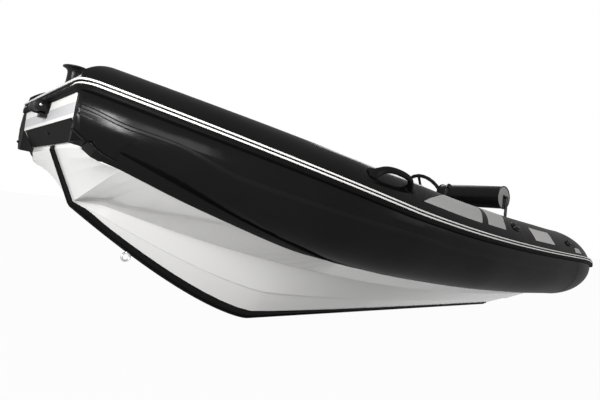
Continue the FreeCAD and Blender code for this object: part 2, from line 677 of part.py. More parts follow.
def make_platform(tubes):
    """Moulded bow platform between the tubes, with a low aft riser."""
    z0, z1 = NOSE_TOP_Z - PLATFORM_DEPTH, NOSE_TOP_Z + PLATFORM_THICK
    flat_half = BITT_BASE_RADIUS + BITT_BASE_MARGIN
    outline = [
        (PLATFORM_X, z0),
        (NOSE_BACK_X - 1, z0),
        (NOSE_BACK_X - 1, NOSE_TOP_Z),
        (NOSE_FRONT_X - 4, NOSE_TOP_Z),
        (BITT_X + flat_half + PLATFORM_EDGE_RUN, z1 - PLATFORM_EDGE_DROP),
        (BITT_X + flat_half, z1),
        (BITT_X - flat_half, z1),
        (PLATFORM_X + 40, z1 - 20),
        (PLATFORM_X, z1 - 45),
    ]
    block = prism_y(outline, NOSE_CORNER_Y - 30)
    for solid in tubes:
        block = block.cut(solid)
    return block


def make_locker_lid():
    y = LOCKER_HALF + LID_OVERHANG
    z = STEP_Z + LID_GAP
    return box(LOCKER_X0 - LID_OVERHANG, LOCKER_X1 + LID_OVERHANG, -y, y, z, z + LID_THICK)


def make_locker_cushion():
    reach = LID_OVERHANG - LID_CUSHION_INSET
    y = LOCKER_HALF + reach
    z = STEP_Z + LID_GAP + LID_THICK + GAP
    pad = box(LOCKER_X0 - reach, LOCKER_X1 + reach, -y, y, z, z + LID_CUSHION_THICK)
    return rounded_pad(pad, LID_CUSHION_CORNER)


def make_locker_hinges():
    """Two hinge knuckles along the lid's forward edge."""
    x = LOCKER_X1 + LID_OVERHANG + HINGE_RADIUS + LID_GAP
    z = STEP_Z + LID_GAP + LID_THICK - HINGE_RADIUS
    solids = []
    for middle in (-HINGE_Y, HINGE_Y):
        y0, y1 = middle - HINGE_HALF_LENGTH, middle + HINGE_HALF_LENGTH
        pin = cylinder(HINGE_RADIUS, V(x, y0, z), V(x, y1, z))
        leaf = box(x - 3, x + HINGE_LEAF_REACH, y0, y1, STEP_Z, STEP_Z + HINGE_LEAF_THICK)
        web = box(x - 3, x + 3, y0, y1, STEP_Z + 1, z)
        solids.append(pin.fuse([leaf, web]).removeSplitter())
    return Part.makeCompound(solids)


def make_bitt():
    z = NOSE_TOP_Z + PLATFORM_THICK
    base = Part.makeCylinder(BITT_BASE_RADIUS, BITT_BASE_THICK, V(BITT_X, 0, z))
    stem = Part.makeCylinder(BITT_STEM_RADIUS, BITT_HEIGHT - BITT_CAP_THICK / 2, V(BITT_X, 0, z))
    cap_z = z + BITT_HEIGHT - BITT_CAP_THICK
    flare, crown_height = BITT_CAP_THICK * 0.55, BITT_CAP_THICK * 0.45
    under = Part.makeCone(BITT_STEM_RADIUS, BITT_CAP_RADIUS, flare, V(BITT_X, 0, cap_z))
    crown = Part.makeCone(BITT_CAP_RADIUS, BITT_CAP_RADIUS * 0.8, crown_height, V(BITT_X, 0, cap_z + flare))
    return base.fuse([stem, under, crown]).removeSplitter()


def make_roller_bracket():
    """Back plate, lip, two cheeks and their pin, hung under the rail on the nose."""
    back_x, front_x = BACK_PLATE_X, BACK_PLATE_X + BACK_PLATE_THICK
    top = NOSE_RAIL_LOW_Z - GAP
    plate_z = NOSE_RAIL_LOW_Z - BACK_PLATE_DROP + BACK_PLATE_RADIUS
    disc = cylinder(BACK_PLATE_RADIUS, V(back_x, 0, plate_z), V(front_x, 0, plate_z))
    below_rail = box(back_x, front_x, -BACK_PLATE_RADIUS, BACK_PLATE_RADIUS, top - BACK_PLATE_RADIUS, top)
    lip_top = ROLLER_Z - ROLLER_RADIUS - LIP_GAP
    lip = box(back_x, back_x + LIP_REACH, -LIP_HALF, LIP_HALF, lip_top - LIP_HEIGHT, lip_top)
    inner = ROLLER_HALF + CHEEK_GAP
    outer = inner + ROLLER_CHEEK_THICK
    radius = ROLLER_RADIUS + CHEEK_OVERLAP
    parts = [lip, cylinder(ROLLER_PIN_RADIUS, V(ROLLER_X, -inner, ROLLER_Z), V(ROLLER_X, inner, ROLLER_Z))]
    for side in (-1, 1):
        low, high = sorted((side * inner, side * outer))
        parts.append(cylinder(radius, V(ROLLER_X, low, ROLLER_Z), V(ROLLER_X, high, ROLLER_Z)))
        parts.append(box(back_x, ROLLER_X, low, high, ROLLER_Z - radius, top))
    return disc.common(below_rail).fuse(parts).removeSplitter()


def make_roller():
    """Grooved roller, free on its pin."""
    centre = V(ROLLER_X, 0, ROLLER_Z)
    port, starboard = centre + Y_AXIS * ROLLER_HALF, centre - Y_AXIS * ROLLER_HALF
    body = cylinder(ROLLER_RADIUS, starboard, port)
    bore = cylinder(ROLLER_PIN_RADIUS + ROLLER_RUN_CLEARANCE, starboard - Y_AXIS, port + Y_AXIS)
    groove = Part.makeTorus(ROLLER_RADIUS + ROLLER_GROOVE_OFFSET, ROLLER_GROOVE_RADIUS, centre, Y_AXIS)
    return body.cut(groove).cut(bore)


def make_keel_guard(blank):
    """Rubber strip laid over the keel and up the stem."""
    lowered = blank.copy()
    lowered.translate(V(GUARD_THICK * 0.75, 0, -GUARD_THICK * 0.75))
    band = box(-20, STEM_TOP_X + 40, -GUARD_HALF_WIDTH, GUARD_HALF_WIDTH, -40, NOSE_CHIN_Z - 4)
    strip = lowered.cut(blank).common(band)
    return max(strip.Solids, key=lambda solid: solid.Volume)


def make_bow_eye(guard, blank):
    """Flat towing eye on the stem, its hole across the boat."""
    z = keel_z(EYE_X) - GUARD_THICK
    centre = V(EYE_X + 4, 0, z - EYE_HOLE_RADIUS - EYE_RING - 2)
    plate = cylinder(EYE_HOLE_RADIUS + EYE_RING, centre - Y_AXIS * 5, centre + Y_AXIS * 5)
    neck = box(centre.x - 12, centre.x + 12, -5, 5, centre.z, z + 14)
    hole = cylinder(EYE_HOLE_RADIUS, centre - Y_AXIS * 20, centre + Y_AXIS * 20)
    eye = plate.fuse(neck).cut(hole).cut(guard).cut(blank)
    return max(eye.Solids, key=lambda one: one.Volume)


def make_flap():
    """Rubber flap along the port tube just outboard of the hull's edge."""
    wires = []
    for s in tube_stations():
        centre, outward, up, _ = tube_frame(s)
        angle = lerp(JOINT_ANGLE_AFT, JOINT_ANGLE_BOW, bow_share(centre.x)) + FLAP_OFFSET_ANGLE
        radius = tube_radius(centre.x)
        angles = [angle + degrees(FLAP_WIDTH / radius) * k / 2 for k in range(3)]
        rim = [(a, -FLAP_THICK) for a in angles] + [(a, FLAP_LIFT + FLAP_THICK) for a in reversed(angles)]
        wires.append(polygon([
            centre + (outward * cos(radians(a)) + up * sin(radians(a))) * (radius + lift) for a, lift in rim
        ]))
    flap = smooth_loft(wires).cut(make_port_tube(FLAP_LIFT, 1))
    flap = flap.common(box(0, JOINT_LEAVES_X, 0, 1000, 0, 1500))
    return max(flap.Solids, key=lambda solid: solid.Volume)


# ================================================================ tube fittings
def local_frame(x, angle):
    """Seat on the port tube: point on its surface, outward normal, direction along the tube."""
    s = s_at(x)
    centre, outward, up, forward = tube_frame(s)
    a = radians(angle)
    normal = outward * cos(a) + up * sin(a)
    return centre + normal * tube_radius(centre.x), normal, forward


def make_handle(tube):
    """Arched grab handle with a foot at each end."""
    seat, normal, forward = local_frame(HANDLE_X, HANDLE_ANGLE)
    half = HANDLE_LENGTH / 2
    path = [seat + forward * a + normal * h for a, h in (
        (-half, 2), (-half * 0.62, HANDLE_RISE), (half * 0.62, HANDLE_RISE), (half, 2))]
    bar = rounded_tube(path, HANDLE_RADIUS, HANDLE_BEND)
    feet = []
    for a in (-half, half):
        middle = seat + forward * a
        feet.append(cylinder(HANDLE_PAD_RADIUS, middle - normal * 6, middle + normal * HANDLE_PAD_THICK))
    handle = bar.fuse(feet).removeSplitter().cut(tube)
    return max(handle.Solids, key=lambda one: one.Volume)


def make_valves(tubes):
    solids = []
    for x, angle, radius in VALVES:
        seat, normal, _ = local_frame(x, angle)
        valve = Part.makeCone(radius, radius * 0.8, VALVE_THICK + 4, seat - normal * 4, normal)
        for tube in tubes:
            valve = valve.cut(tube)
        valve = max(valve.Solids, key=lambda one: one.Volume)
        solids += [valve, mirrored(valve)]
    return Part.makeCompound(solids)


def make_tow_eyes():
    solids = []
    for side in (-1, 1):
        y = side * TOW_EYE_Y
        centre = V(-TOW_EYE_HOLE - TOW_EYE_RING - 8, y, TOW_EYE_Z)
        half, edge = TOW_EYE_THICK / 2, TOW_PLATE_HALF
        ring = cylinder(TOW_EYE_HOLE + TOW_EYE_RING, centre - Z_AXIS * half, centre + Z_AXIS * half)
        neck = box(centre.x, -4, y - edge / 2, y + edge / 2, TOW_EYE_Z - half, TOW_EYE_Z + half)
        plate = box(-TOW_PLATE_THICK, 0, y - edge, y + edge, TOW_EYE_Z - edge, TOW_EYE_Z + edge)
        hole = cylinder(TOW_EYE_HOLE, centre - Z_AXIS * 40, centre + Z_AXIS * 40)
        solids.append(ring.fuse([neck, plate]).cut(hole).removeSplitter())
    return Part.makeCompound(solids)


def make_drain():
    """Drain plug low on the transom, with its finger grip."""
    flange = cylinder(DRAIN_RADIUS, V(0, 0, DRAIN_Z), V(-DRAIN_THICK / 2, 0, DRAIN_Z))
    grip_y, grip_z = 4.0, 14.0
    grip = box(-DRAIN_THICK - 6, -DRAIN_THICK / 2 + 1, -grip_y, grip_y, DRAIN_Z - grip_z, DRAIN_Z + grip_z)
    return flange.fuse(grip)


# ================================================================ helm
def make_console():
    outline = [(CONSOLE_X0, DECK_Z), (CONSOLE_X1, DECK_Z), (CONSOLE_X1 - 30, CONSOLE_TOP_FORE_Z),
               (CONSOLE_X1 - 90, CONSOLE_TOP_FORE_Z + 8), (CONSOLE_X0 - 20, CONSOLE_TOP_AFT_Z),
               (CONSOLE_X0 - 20, CONSOLE_TOP_AFT_Z - 60), (CONSOLE_X0 + 30, CONSOLE_TOP_AFT_Z - 110)]
    return prism_y(outline, CONSOLE_HALF)


def wheel_axis():
    """Direction from the wheel's hub to the driver."""
    tilt = radians(WHEEL_TILT)
    return V(-sin(tilt), 0, cos(tilt))


def make_wheel():
    centre, axis = V(WHEEL_X, 0, WHEEL_Z), wheel_axis()
    rim = Part.makeTorus(WHEEL_RADIUS, WHEEL_GRIP, centre, axis)
    hub = cylinder(WHEEL_HUB_RADIUS, centre - axis * WHEEL_HUB_THICK, centre + axis * 4)
    spokes = []
    up = Y_AXIS.cross(axis)
    for angle in (90.0, 210.0, 330.0):
        a = radians(angle)
        out = Y_AXIS * cos(a) + up * sin(a)
        across = axis.cross(out)
        start = centre + out * 20 - across * WHEEL_SPOKE_WIDTH / 2 - axis * 8
        bar = Part.Face(polygon([start, start + across * WHEEL_SPOKE_WIDTH,
                                 start + across * WHEEL_SPOKE_WIDTH + axis * WHEEL_SPOKE_THICK,
                                 start + axis * WHEEL_SPOKE_THICK]))
        spokes.append(bar.extrude(out * (WHEEL_RADIUS - 20)))
    return rim.fuse([hub] + spokes).removeSplitter()


def make_wheel_mount(console):
    """Bezel and boss on the console that the wheel turns on."""
    centre, axis = V(WHEEL_X, 0, WHEEL_Z), wheel_axis()
    start = centre - axis * (WHEEL_HUB_THICK + 0.5)
    bezel = cylinder(WHEEL_BEZEL_RADIUS, start - axis * 190, start - axis * 8)
    boss = cylinder(WHEEL_SHAFT_RADIUS + 8, start - axis * 20, start)
    return bezel.fuse(boss).cut(console).removeSplitter()


def make_throttle():
    """Control box on the console's port side, with its lever and knob."""
    y0 = CONSOLE_HALF
    y1, disc_end, lever_y = y0 + CONTROL_WIDTH, y0 + CONTROL_WIDTH + 15, y0 + CONTROL_WIDTH + 7
    hub_x, hub_z = CONTROL_X0 + CONTROL_SIDE / 2, CONTROL_Z0 + CONTROL_HUB_RISE
    body = box(CONTROL_X0, CONTROL_X0 + CONTROL_SIDE, y0, y1, CONTROL_Z0, CONTROL_Z0 + CONTROL_SIDE)
    disc = cylinder(CONTROL_HUB_RADIUS, V(hub_x, y1 - 15, hub_z), V(hub_x, disc_end, hub_z))
    foot, top = V(hub_x, lever_y, hub_z), V(LEVER_X, lever_y, LEVER_TOP_Z)
    along = (top - foot).normalize()
    lever = cylinder(LEVER_RADIUS, foot, top)
    knob = cylinder(LEVER_KNOB_RADIUS, top - along * LEVER_KNOB_HALF, top + along * LEVER_KNOB_HALF)
    return body.fuse([disc, lever, knob])


# ================================================================ seat
def make_seat_box():
    outer = box(SEAT_X0, SEAT_X1, -SEAT_HALF, SEAT_HALF, DECK_Z, SEAT_TOP_Z)
    w = SEAT_WALL
    inner = box(SEAT_X0 + w, SEAT_X1 - w, -SEAT_HALF + w, SEAT_HALF - w, DECK_Z + w, SEAT_TOP_Z - w)
    door = box(SEAT_X1 - w - 5, SEAT_X1 + 5, -HATCH_HALF, HATCH_HALF, HATCH_Z0, HATCH_Z1)
    return outer.cut(inner).cut(door)


def hatch_knuckle(y0, y1):
    """Part of the hinge barrel under the seat hatch."""
    return cylinder(HATCH_PIN_RADIUS, V(HATCH_AXIS_X, y0, HATCH_AXIS_Z), V(HATCH_AXIS_X, y1, HATCH_AXIS_Z))


def make_seat_hatch():
    """Front door of the seat box, inside its frame, with the hinge's middle knuckle."""
    half, reach = HATCH_HALF - HATCH_GAP, HATCH_KNUCKLE_HALF
    door = box(SEAT_X1 - HATCH_THICK, SEAT_X1, -half, half, HATCH_Z0 + HATCH_GAP, HATCH_Z1 - HATCH_GAP)
    strap_x, strap_z = SEAT_X1 + HATCH_LEAF_THICK, HATCH_Z0 + HATCH_GAP
    web = box(strap_x, HATCH_AXIS_X, -reach, reach, HATCH_AXIS_Z, strap_z + HATCH_LEAF_THICK)
    strap = box(SEAT_X1, strap_x, -reach, reach, strap_z, strap_z + HATCH_STRAP_HEIGHT)
    return door.fuse([hatch_knuckle(-reach, reach), web, strap]).removeSplitter()


def make_seat_hinges():
    """The hinge's two outer knuckles, on the seat box below the door."""
    solids = []
    for side in (-1, 1):
        near = side * (HATCH_KNUCKLE_HALF + HATCH_KNUCKLE_GAP)
        low, high = sorted((near, near + side * HATCH_KNUCKLE_LENGTH))
        leaf_z = HATCH_AXIS_Z - HATCH_STRAP_HEIGHT
        leaf = box(SEAT_X1, SEAT_X1 + HATCH_LEAF_THICK, low, high, leaf_z, HATCH_AXIS_Z)
        web = box(SEAT_X1, HATCH_AXIS_X, low, high, HATCH_AXIS_Z - HATCH_PIN_RADIUS, HATCH_AXIS_Z)
        solids.append(hatch_knuckle(low, high).fuse([leaf, web]).removeSplitter())
    return Part.makeCompound(solids)


def make_seat_cushion():
    z = SEAT_TOP_Z + GAP
    x0, x1 = SEAT_X0 + CUSHION_SETBACK, SEAT_X1 + CUSHION_OVERHANG
    return rounded_pad(box(x0, x1, -SEAT_HALF, SEAT_HALF, z, z + CUSHION_THICK), CUSHION_CORNER)


def make_backrest_frame():
    """Two arms bent in at the top to hold the bolster, and their pivot bosses."""
    solids = []
    for side in (-1, 1):
        y = side * ARM_Y
        bottom, top = V(BOLSTER_X, y, ARM_PIVOT_Z), V(BOLSTER_X, y, BOLSTER_Z)
        inward = V(BOLSTER_X, side * (BOLSTER_HALF + GAP), BOLSTER_Z)
        bar = cylinder(ARM_RADIUS, bottom, top)
        stub = cylinder(ARM_RADIUS, inward, V(BOLSTER_X, side * (ARM_Y + ARM_STUB_PAST), BOLSTER_Z))
        boss = cylinder(ARM_BOSS_RADIUS, bottom - Y_AXIS * ARM_BOSS_HALF, bottom + Y_AXIS * ARM_BOSS_HALF)
        ball = Part.makeSphere(ARM_RADIUS, top)
        hole = cylinder(PIVOT_PIN_RADIUS + PIVOT_RUN_CLEARANCE, bottom - Y_AXIS * 60, bottom + Y_AXIS * 60)
        solids.append(bar.fuse([stub, boss, ball]).cut(hole).removeSplitter())
    return Part.makeCompound(solids)


def make_pivots():
    """Pins and spacers on the seat's sides that the arms turn on."""
    solids = []
    for side in (-1, 1):
        seat, arm, head, end = (
            V(BOLSTER_X, side * y, ARM_PIVOT_Z)
            for y in (
                SEAT_HALF,
                ARM_Y - ARM_BOSS_HALF - PIVOT_PLAY,
                ARM_Y + ARM_BOSS_HALF + PIVOT_PLAY,
                ARM_Y + ARM_BOSS_HALF + PIVOT_PLAY + PIVOT_HEAD_THICK,
            )
        )
        spacer = cylinder(PIVOT_SPACER_RADIUS, seat, arm)
        pin = cylinder(PIVOT_PIN_RADIUS, seat, end)
        solids.append(spacer.fuse([pin, cylinder(PIVOT_HEAD_RADIUS, head, end)]).removeSplitter())
    return Part.makeCompound(solids)


def make_bolster():
    middle = V(BOLSTER_X, 0, BOLSTER_Z)
    return cylinder(BOLSTER_RADIUS, middle - Y_AXIS * BOLSTER_HALF, middle + Y_AXIS * BOLSTER_HALF)


# ================================================================ writing
def build():
    blank = make_hull_blank()
    port_tube = make_port_tube().cut(bow_underside(HULL_SKIN, GAP))
    port_cone = make_port_cone()
    grown_tube, grown_cone = make_port_tube(GAP), make_port_cone(GAP)
    tubes = [grown_tube, mirrored(grown_tube), grown_cone, mirrored(grown_cone)]
    console = make_console()
    rail = make_rail().cut(grown_tube).cut(grown_cone)
    rail = max(rail.Solids, key=lambda one: one.Volume)
    port_cone = port_cone.cut(grown_tube)
    guard = make_keel_guard(blank)
    handle = make_handle(grown_tube)
    side_space = make_port_tube(GAP, 1).cut(bow_underside(HULL_SKIN, 0.0))
    flap = make_flap()
    return {
        "hull": make_hull(blank, side_space),
        "deck": make_deck(),
        "transom": make_transom(tubes),
        "motor_pads": make_motor_pads(),
        "bow_platform": make_platform(tubes),
        "bow_locker_lid": make_locker_lid(),
        "bow_locker_cushion": make_locker_cushion(),
        "bow_locker_hinges": make_locker_hinges(),
        "bow_bitt": make_bitt(),
        "bow_roller_bracket": make_roller_bracket(),
        "bow_roller": make_roller(),
        "bow_eye": make_bow_eye(guard, blank),
        "keel_guard": guard,
        "port_tube": port_tube,
        "starboard_tube": mirrored(port_tube),
        "port_stern_cone": port_cone,
        "starboard_stern_cone": mirrored(port_cone),
        "nose_tube": make_nose_tube(),
        "nose_panel": make_nose_panel(),
        "nose_apron": make_nose_apron(),
        "port_rub_rail": rail,
        "starboard_rub_rail": mirrored(rail),
        "nose_rub_rail": make_nose_rail(),
        "port_joint_flap": flap,
        "starboard_joint_flap": mirrored(flap),
        "port_grab_handle": handle,
        "starboard_grab_handle": mirrored(handle),
        "tube_valves": make_valves([grown_tube, grown_cone]),
        "transom_tow_eyes": make_tow_eyes(),
        "drain_plug": make_drain(),
        "console": console,
        "steering_mount": make_wheel_mount(console),
        "steering_wheel": make_wheel(),
        "throttle_control": make_throttle(),
        "seat_box": make_seat_box(),
        "seat_hatch": make_seat_hatch(),
        "seat_hatch_hinges": make_seat_hinges(),
        "seat_cushion": make_seat_cushion(),
        "backrest_pivots": make_pivots(),
        "backrest_frame": make_backrest_frame(),
        "backrest_bolster": make_bolster(),
    }


def write(pieces):
    os.makedirs("parts", exist_ok=True)
    for name, shape in pieces.items():
        placed = shape.copy()
        placed.translate(V(-ORIGIN_X, 0, -WATERLINE_Z))
        placed.exportStep("parts/%s.step" % name)
        solids = placed.Solids
        print("%-24s solids %d valid %s volume %.4f l" % (
            name, len(solids), placed.isValid(), sum(s.Volume for s in solids) / 1e6))


write(build())
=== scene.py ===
"""Rigid-hulled inflatable boat: finishes, soft goods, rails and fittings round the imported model.

Boat curves are worked out in millimetres with X forward from the transom, Y to port and Z up
from the keel; place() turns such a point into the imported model's frame in metres.
"""

from math import asin, cos, degrees, pi, radians, sin, tau

import bmesh
import bpy
from bpy.props import FloatProperty, FloatVectorProperty, IntProperty, PointerProperty
from bpy.types import Operator, Panel, PropertyGroup
from mathutils import Matrix, Vector
from mathutils.bvhtree import BVHTree
from numpy import interp


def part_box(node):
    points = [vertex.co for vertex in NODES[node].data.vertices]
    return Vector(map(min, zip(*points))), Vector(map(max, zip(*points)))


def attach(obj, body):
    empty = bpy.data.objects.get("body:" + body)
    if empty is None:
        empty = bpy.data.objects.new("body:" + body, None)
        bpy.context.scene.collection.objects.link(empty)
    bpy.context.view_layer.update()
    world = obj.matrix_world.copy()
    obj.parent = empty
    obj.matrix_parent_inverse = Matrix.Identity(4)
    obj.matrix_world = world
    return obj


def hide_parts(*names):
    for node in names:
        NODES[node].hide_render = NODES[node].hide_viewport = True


bl_info = {
    "name": "Rigid-hulled inflatable boat",
    "version": (1, 0, 0),
    "blender": (4, 5, 0),
    "location": "3D View > Sidebar > Boat",
    "description": "Builds the finishes, rails, soft goods and fittings of a small inflatable boat",
    "category": "Object",
}

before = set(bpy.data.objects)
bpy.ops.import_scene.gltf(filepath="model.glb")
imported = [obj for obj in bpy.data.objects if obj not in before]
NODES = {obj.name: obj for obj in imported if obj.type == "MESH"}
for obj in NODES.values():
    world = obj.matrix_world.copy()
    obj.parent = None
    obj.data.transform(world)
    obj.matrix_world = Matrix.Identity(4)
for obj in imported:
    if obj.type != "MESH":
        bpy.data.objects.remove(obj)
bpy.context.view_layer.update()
ORIGIN_X, WATERLINE_Z = 1500.0, 185.0
FORE, UP, PORT = Vector((1, 0, 0)), Vector((0, 0, 1)), Vector((0, 1, 0))

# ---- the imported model's curves
TUBE_RADIUS, TUBE_HALF_SPACING, TOE_IN = 227.0, 644.0, 86.0
SHOULDER_X, BOW_X = 2028.0, 3178.0
BOW_HALF_WIDTH, BOW_HEADING, BOW_RADIUS = 299.0, 35.0, 190.0
TUBE_Z, SHEER_SLOPE, BOW_RISE = 408.0, 0.037, 269.0
CONE_START_X, CONE_END_X, CONE_END_RADIUS, CONE_BULGE = 125.0, -413.0, 142.0, 20.0
KEEL_RISE_X, KEEL_POWER = 2214.0, 1.36
KNUCKLE_X, KNUCKLE_Z = 3107.0, 480.0
STEM_TOP_X, STEM_TOP_Z = 3212.0, 699.0
NOSE_FRONT_X = 3246.0
RAIL_ANGLE_AFT, RAIL_ANGLE_BOW = 13.5, 28.5


def lerp(a, b, t):
    return a + (b - a) * t


def even(start, end, count):
    return [lerp(start, end, k / count) for k in range(count + 1)]


def metres(pairs):
    return [(a / 1000, b / 1000) for a, b in pairs]


def circle(steps):
    """Cosine and sine at even steps of a full turn."""
    return [(cos(tau * k / steps), sin(tau * k / steps)) for k in range(steps)]


def oval(centre, first, second, steps, size=1.0):
    """Points round an oval whose half axes are the two vectors, at a size."""
    return [centre + (first * c + second * s) * size for c, s in circle(steps)]


def arc(x, z, reach, start, sweep, steps=24):
    """Points along a part of a circle, from one angle in degrees through a sweep."""
    angles = [radians(start + sweep * k / steps) for k in range(steps + 1)]
    return [(x + reach * cos(a), z + reach * sin(a)) for a in angles]


def square_to(axis):
    """The axis as a unit, and two directions square to it."""
    axis = Vector(axis).normalized()
    side = axis.orthogonal().normalized()
    return axis, side, axis.cross(side)


def bezier(t):
    """Weights of a cubic curve's four control points."""
    return (1 - t) ** 3, 3 * t * (1 - t) ** 2, 3 * t * t * (1 - t), t**3


def place(point):
    """A point of the boat's curves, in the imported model's frame."""
    return Vector(((point[0] - ORIGIN_X) / 1000, point[1] / 1000, (point[2] - WATERLINE_Z) / 1000))


def tube_point(s):
    """Middle of the port tube: s is x up to the shoulder, then 0 to 1000 more round the bow."""
    if s <= SHOULDER_X:
        x = s
        y = TUBE_HALF_SPACING - TOE_IN * ((SHOULDER_X - s) / SHOULDER_X) ** 2
    else:
        run, heading = BOW_X - SHOULDER_X, radians(BOW_HEADING)
        ctrl = (
            (SHOULDER_X, TUBE_HALF_SPACING),
            (SHOULDER_X + 0.4 * run, TUBE_HALF_SPACING),
            (BOW_X - 0.35 * run * cos(heading), BOW_HALF_WIDTH + 0.35 * run * sin(heading)),
            (BOW_X, BOW_HALF_WIDTH),
        )
        weights = bezier((s - SHOULDER_X) / 1000.0)
        x, y = (sum(w * c[axis] for w, c in zip(weights, ctrl)) for axis in (0, 1))
    return Vector((x, y, TUBE_Z + SHEER_SLOPE * x + BOW_RISE * max(0.0, x / BOW_X) ** 3))


def bow_share(x):
    """0 at the shoulder, 1 where the tube meets the nose."""
    return min(1.0, max(0.0, (x - SHOULDER_X) / (BOW_X - SHOULDER_X)))


def tube_radius(x):
    if x >= CONE_START_X:
        return lerp(TUBE_RADIUS, BOW_RADIUS, bow_share(x))
    t = (CONE_START_X - x) / (CONE_START_X - CONE_END_X)
    return lerp(TUBE_RADIUS, CONE_END_RADIUS, t) + 4 * CONE_BULGE * t * (1 - t)


def tube_frame(s):
    """Point, outward, up and forward directions of the port tube at s."""
    forward = (tube_point(s + 5) - tube_point(s - 5)).normalized()
    outward = UP.cross(forward).normalized()
    return tube_point(s), outward, forward.cross(outward).normalized(), forward


def round_tube(s, angle):
    """Outward normal and the direction of growing angle, at an angle round the port tube."""
    _, outward, up, _ = tube_frame(s)
    a = radians(angle)
    return outward * cos(a) + up * sin(a), up * cos(a) - outward * sin(a)


def s_at(x):
    """Tube parameter whose point has the given x."""
    low, high = CONE_END_X - 100, SHOULDER_X + 1000
    for _ in range(40):
        mid = (low + high) / 2
        low, high = (mid, high) if tube_point(mid).x < x else (low, mid)
    return low


def keel_height(x):
    if x <= KEEL_RISE_X:
        return 0.0
    if x <= KNUCKLE_X:
        return KNUCKLE_Z * ((x - KEEL_RISE_X) / (KNUCKLE_X - KEEL_RISE_X)) ** KEEL_POWER
    return lerp(KNUCKLE_Z, STEM_TOP_Z, (x - KNUCKLE_X) / (STEM_TOP_X - KNUCKLE_X))


def smooth_line(points, count):
    """Evenly read Catmull-Rom curve through points of any number of values."""
    padded = [points[0], *points, points[-1]]
    out = []
    for k in range(count + 1):
        way = k / count * (len(points) - 1)
        i = min(int(way), len(points) - 2)
        t = way - i
        out.append(tuple(
            0.5 * (2 * b + (c - a) * t + (2 * a - 5 * b + 4 * c - d) * t * t
                   + (3 * b - a - 3 * c + d) * t**3)
            for a, b, c, d in zip(*padded[i:i + 4])
        ))
    return out


# ---- shader building
class Wire:
    """A socket that can be used in a Python expression: each operator adds its Math node."""

    def __init__(self, finish, socket):
        self.finish, self.socket = finish, socket

    def math(self, operation, *values):
        return self.finish.add(
            "ShaderNodeMath", {"operation": operation}, dict(enumerate(values or (self,))))

    def __add__(self, other):
        return self.math("ADD", self, other)

    __radd__ = __add__

    def __sub__(self, other):
        return self.math("SUBTRACT", self, other)

    def __rsub__(self, other):
        return self.math("SUBTRACT", other, self)

    def __mul__(self, other):
        return self.math("MULTIPLY", self, other)

    __rmul__ = __mul__

    def __pow__(self, other):
        return self.math("POWER", self, other)

    def above(self, edge):
        return self.math("GREATER_THAN", self, edge)

    def below(self, edge):
        return self.math("LESS_THAN", self, edge)

    def largest(self, other):
        return self.math("MAXIMUM", self, other)

    def size(self):
        return self.math("ABSOLUTE")

    def sine(self):
        return self.math("SINE")


class Nodes:
    """The nodes of one material or world, and the one way they are made."""

    def __init__(self, owner):
        owner.use_nodes = True
        self.tree = owner.node_tree
        self.tree.nodes.clear()

    def add(self, kind, settings, values, out=0):
        """A node of that type, its settings, then its sockets' values or links; one output."""
        node = self.tree.nodes.new(kind)
        for key, value in settings.items():
            setattr(node, key, value)
        for key, value in values.items():
            if isinstance(value, Wire):
                self.tree.links.new(value.socket, node.inputs[key])
            else:
                node.inputs[key].default_value = value
        return Wire(self, node.outputs[out]) if len(node.outputs) else None

    def background_rays(self):
        """1 for the rays that show the background: straight, mirrored or through glass."""
        straight, mirrored, through = (
            self.add("ShaderNodeLightPath", {}, {}, f"Is {ray} Ray")
            for ray in ("Camera", "Glossy", "Transmission")
        )
        return straight.largest(mirrored).largest(through)


class Finish(Nodes):
    """One material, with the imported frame's coordinates to work from."""

    def __init__(self, name):
        self.material = bpy.data.materials.new(name)
        super().__init__(self.material)
        self.where = self.add("ShaderNodeTexCoord", {}, {}, "Object")
        self.x, self.y, self.z = (
            self.add("ShaderNodeSeparateXYZ", {}, {0: self.where}, axis) for axis in "XYZ")

    def noise(self, scale, detail=2.0, rough=0.5, where=None):
        return self.add("ShaderNodeTexNoise", {}, {
            "Vector": where or self.where, "Scale": scale, "Detail": detail, "Roughness": rough,
        }, "Fac")

    def cells(self, scale, feature="F1"):
        return self.add("ShaderNodeTexVoronoi", {"feature": feature},
                        {"Vector": self.where, "Scale": scale}, "Distance")

    def blend(self, share, first, second):
        """Colour between two, by a share of 0 to 1."""
        return self.add(
            "ShaderNodeMix", {"data_type": "RGBA"}, {0: share, 6: first, 7: second}, 2)

    def surface(self, colour, roughness, height, strength, distance, **constants):
        """Principled surface with a bump from the height, as the material's output."""
        values = {"Base Color": colour, "Roughness": roughness}
        values["Normal"] = self.add("ShaderNodeBump", {}, {
            "Height": height, "Strength": strength, "Distance": distance}, "Normal")
        values.update({key.replace("_", " "): value for key, value in constants.items()})
        self.output(self.add("ShaderNodeBsdfPrincipled", {}, values, "BSDF"))
        return self.material

    def output(self, shader):
        self.add("ShaderNodeOutputMaterial", {}, {"Surface": shader})


def tint(colour, share=1.0):
    """A colour made lighter or darker, with its alpha."""
    return tuple(min(1.0, c * share) for c in colour[:3]) + (1.0,)


# ---- finishes
BLACK_COAT = 0.13            # share of a clear coat on black rubber, which has no other shine
FABRIC_COAT = 0.17           # the same on the tube fabric
THREAD_RATE = 5200           # threads of the tube fabric, in radians per metre
DIAMOND_PITCH, TREAD_PITCH = 0.012, 0.006


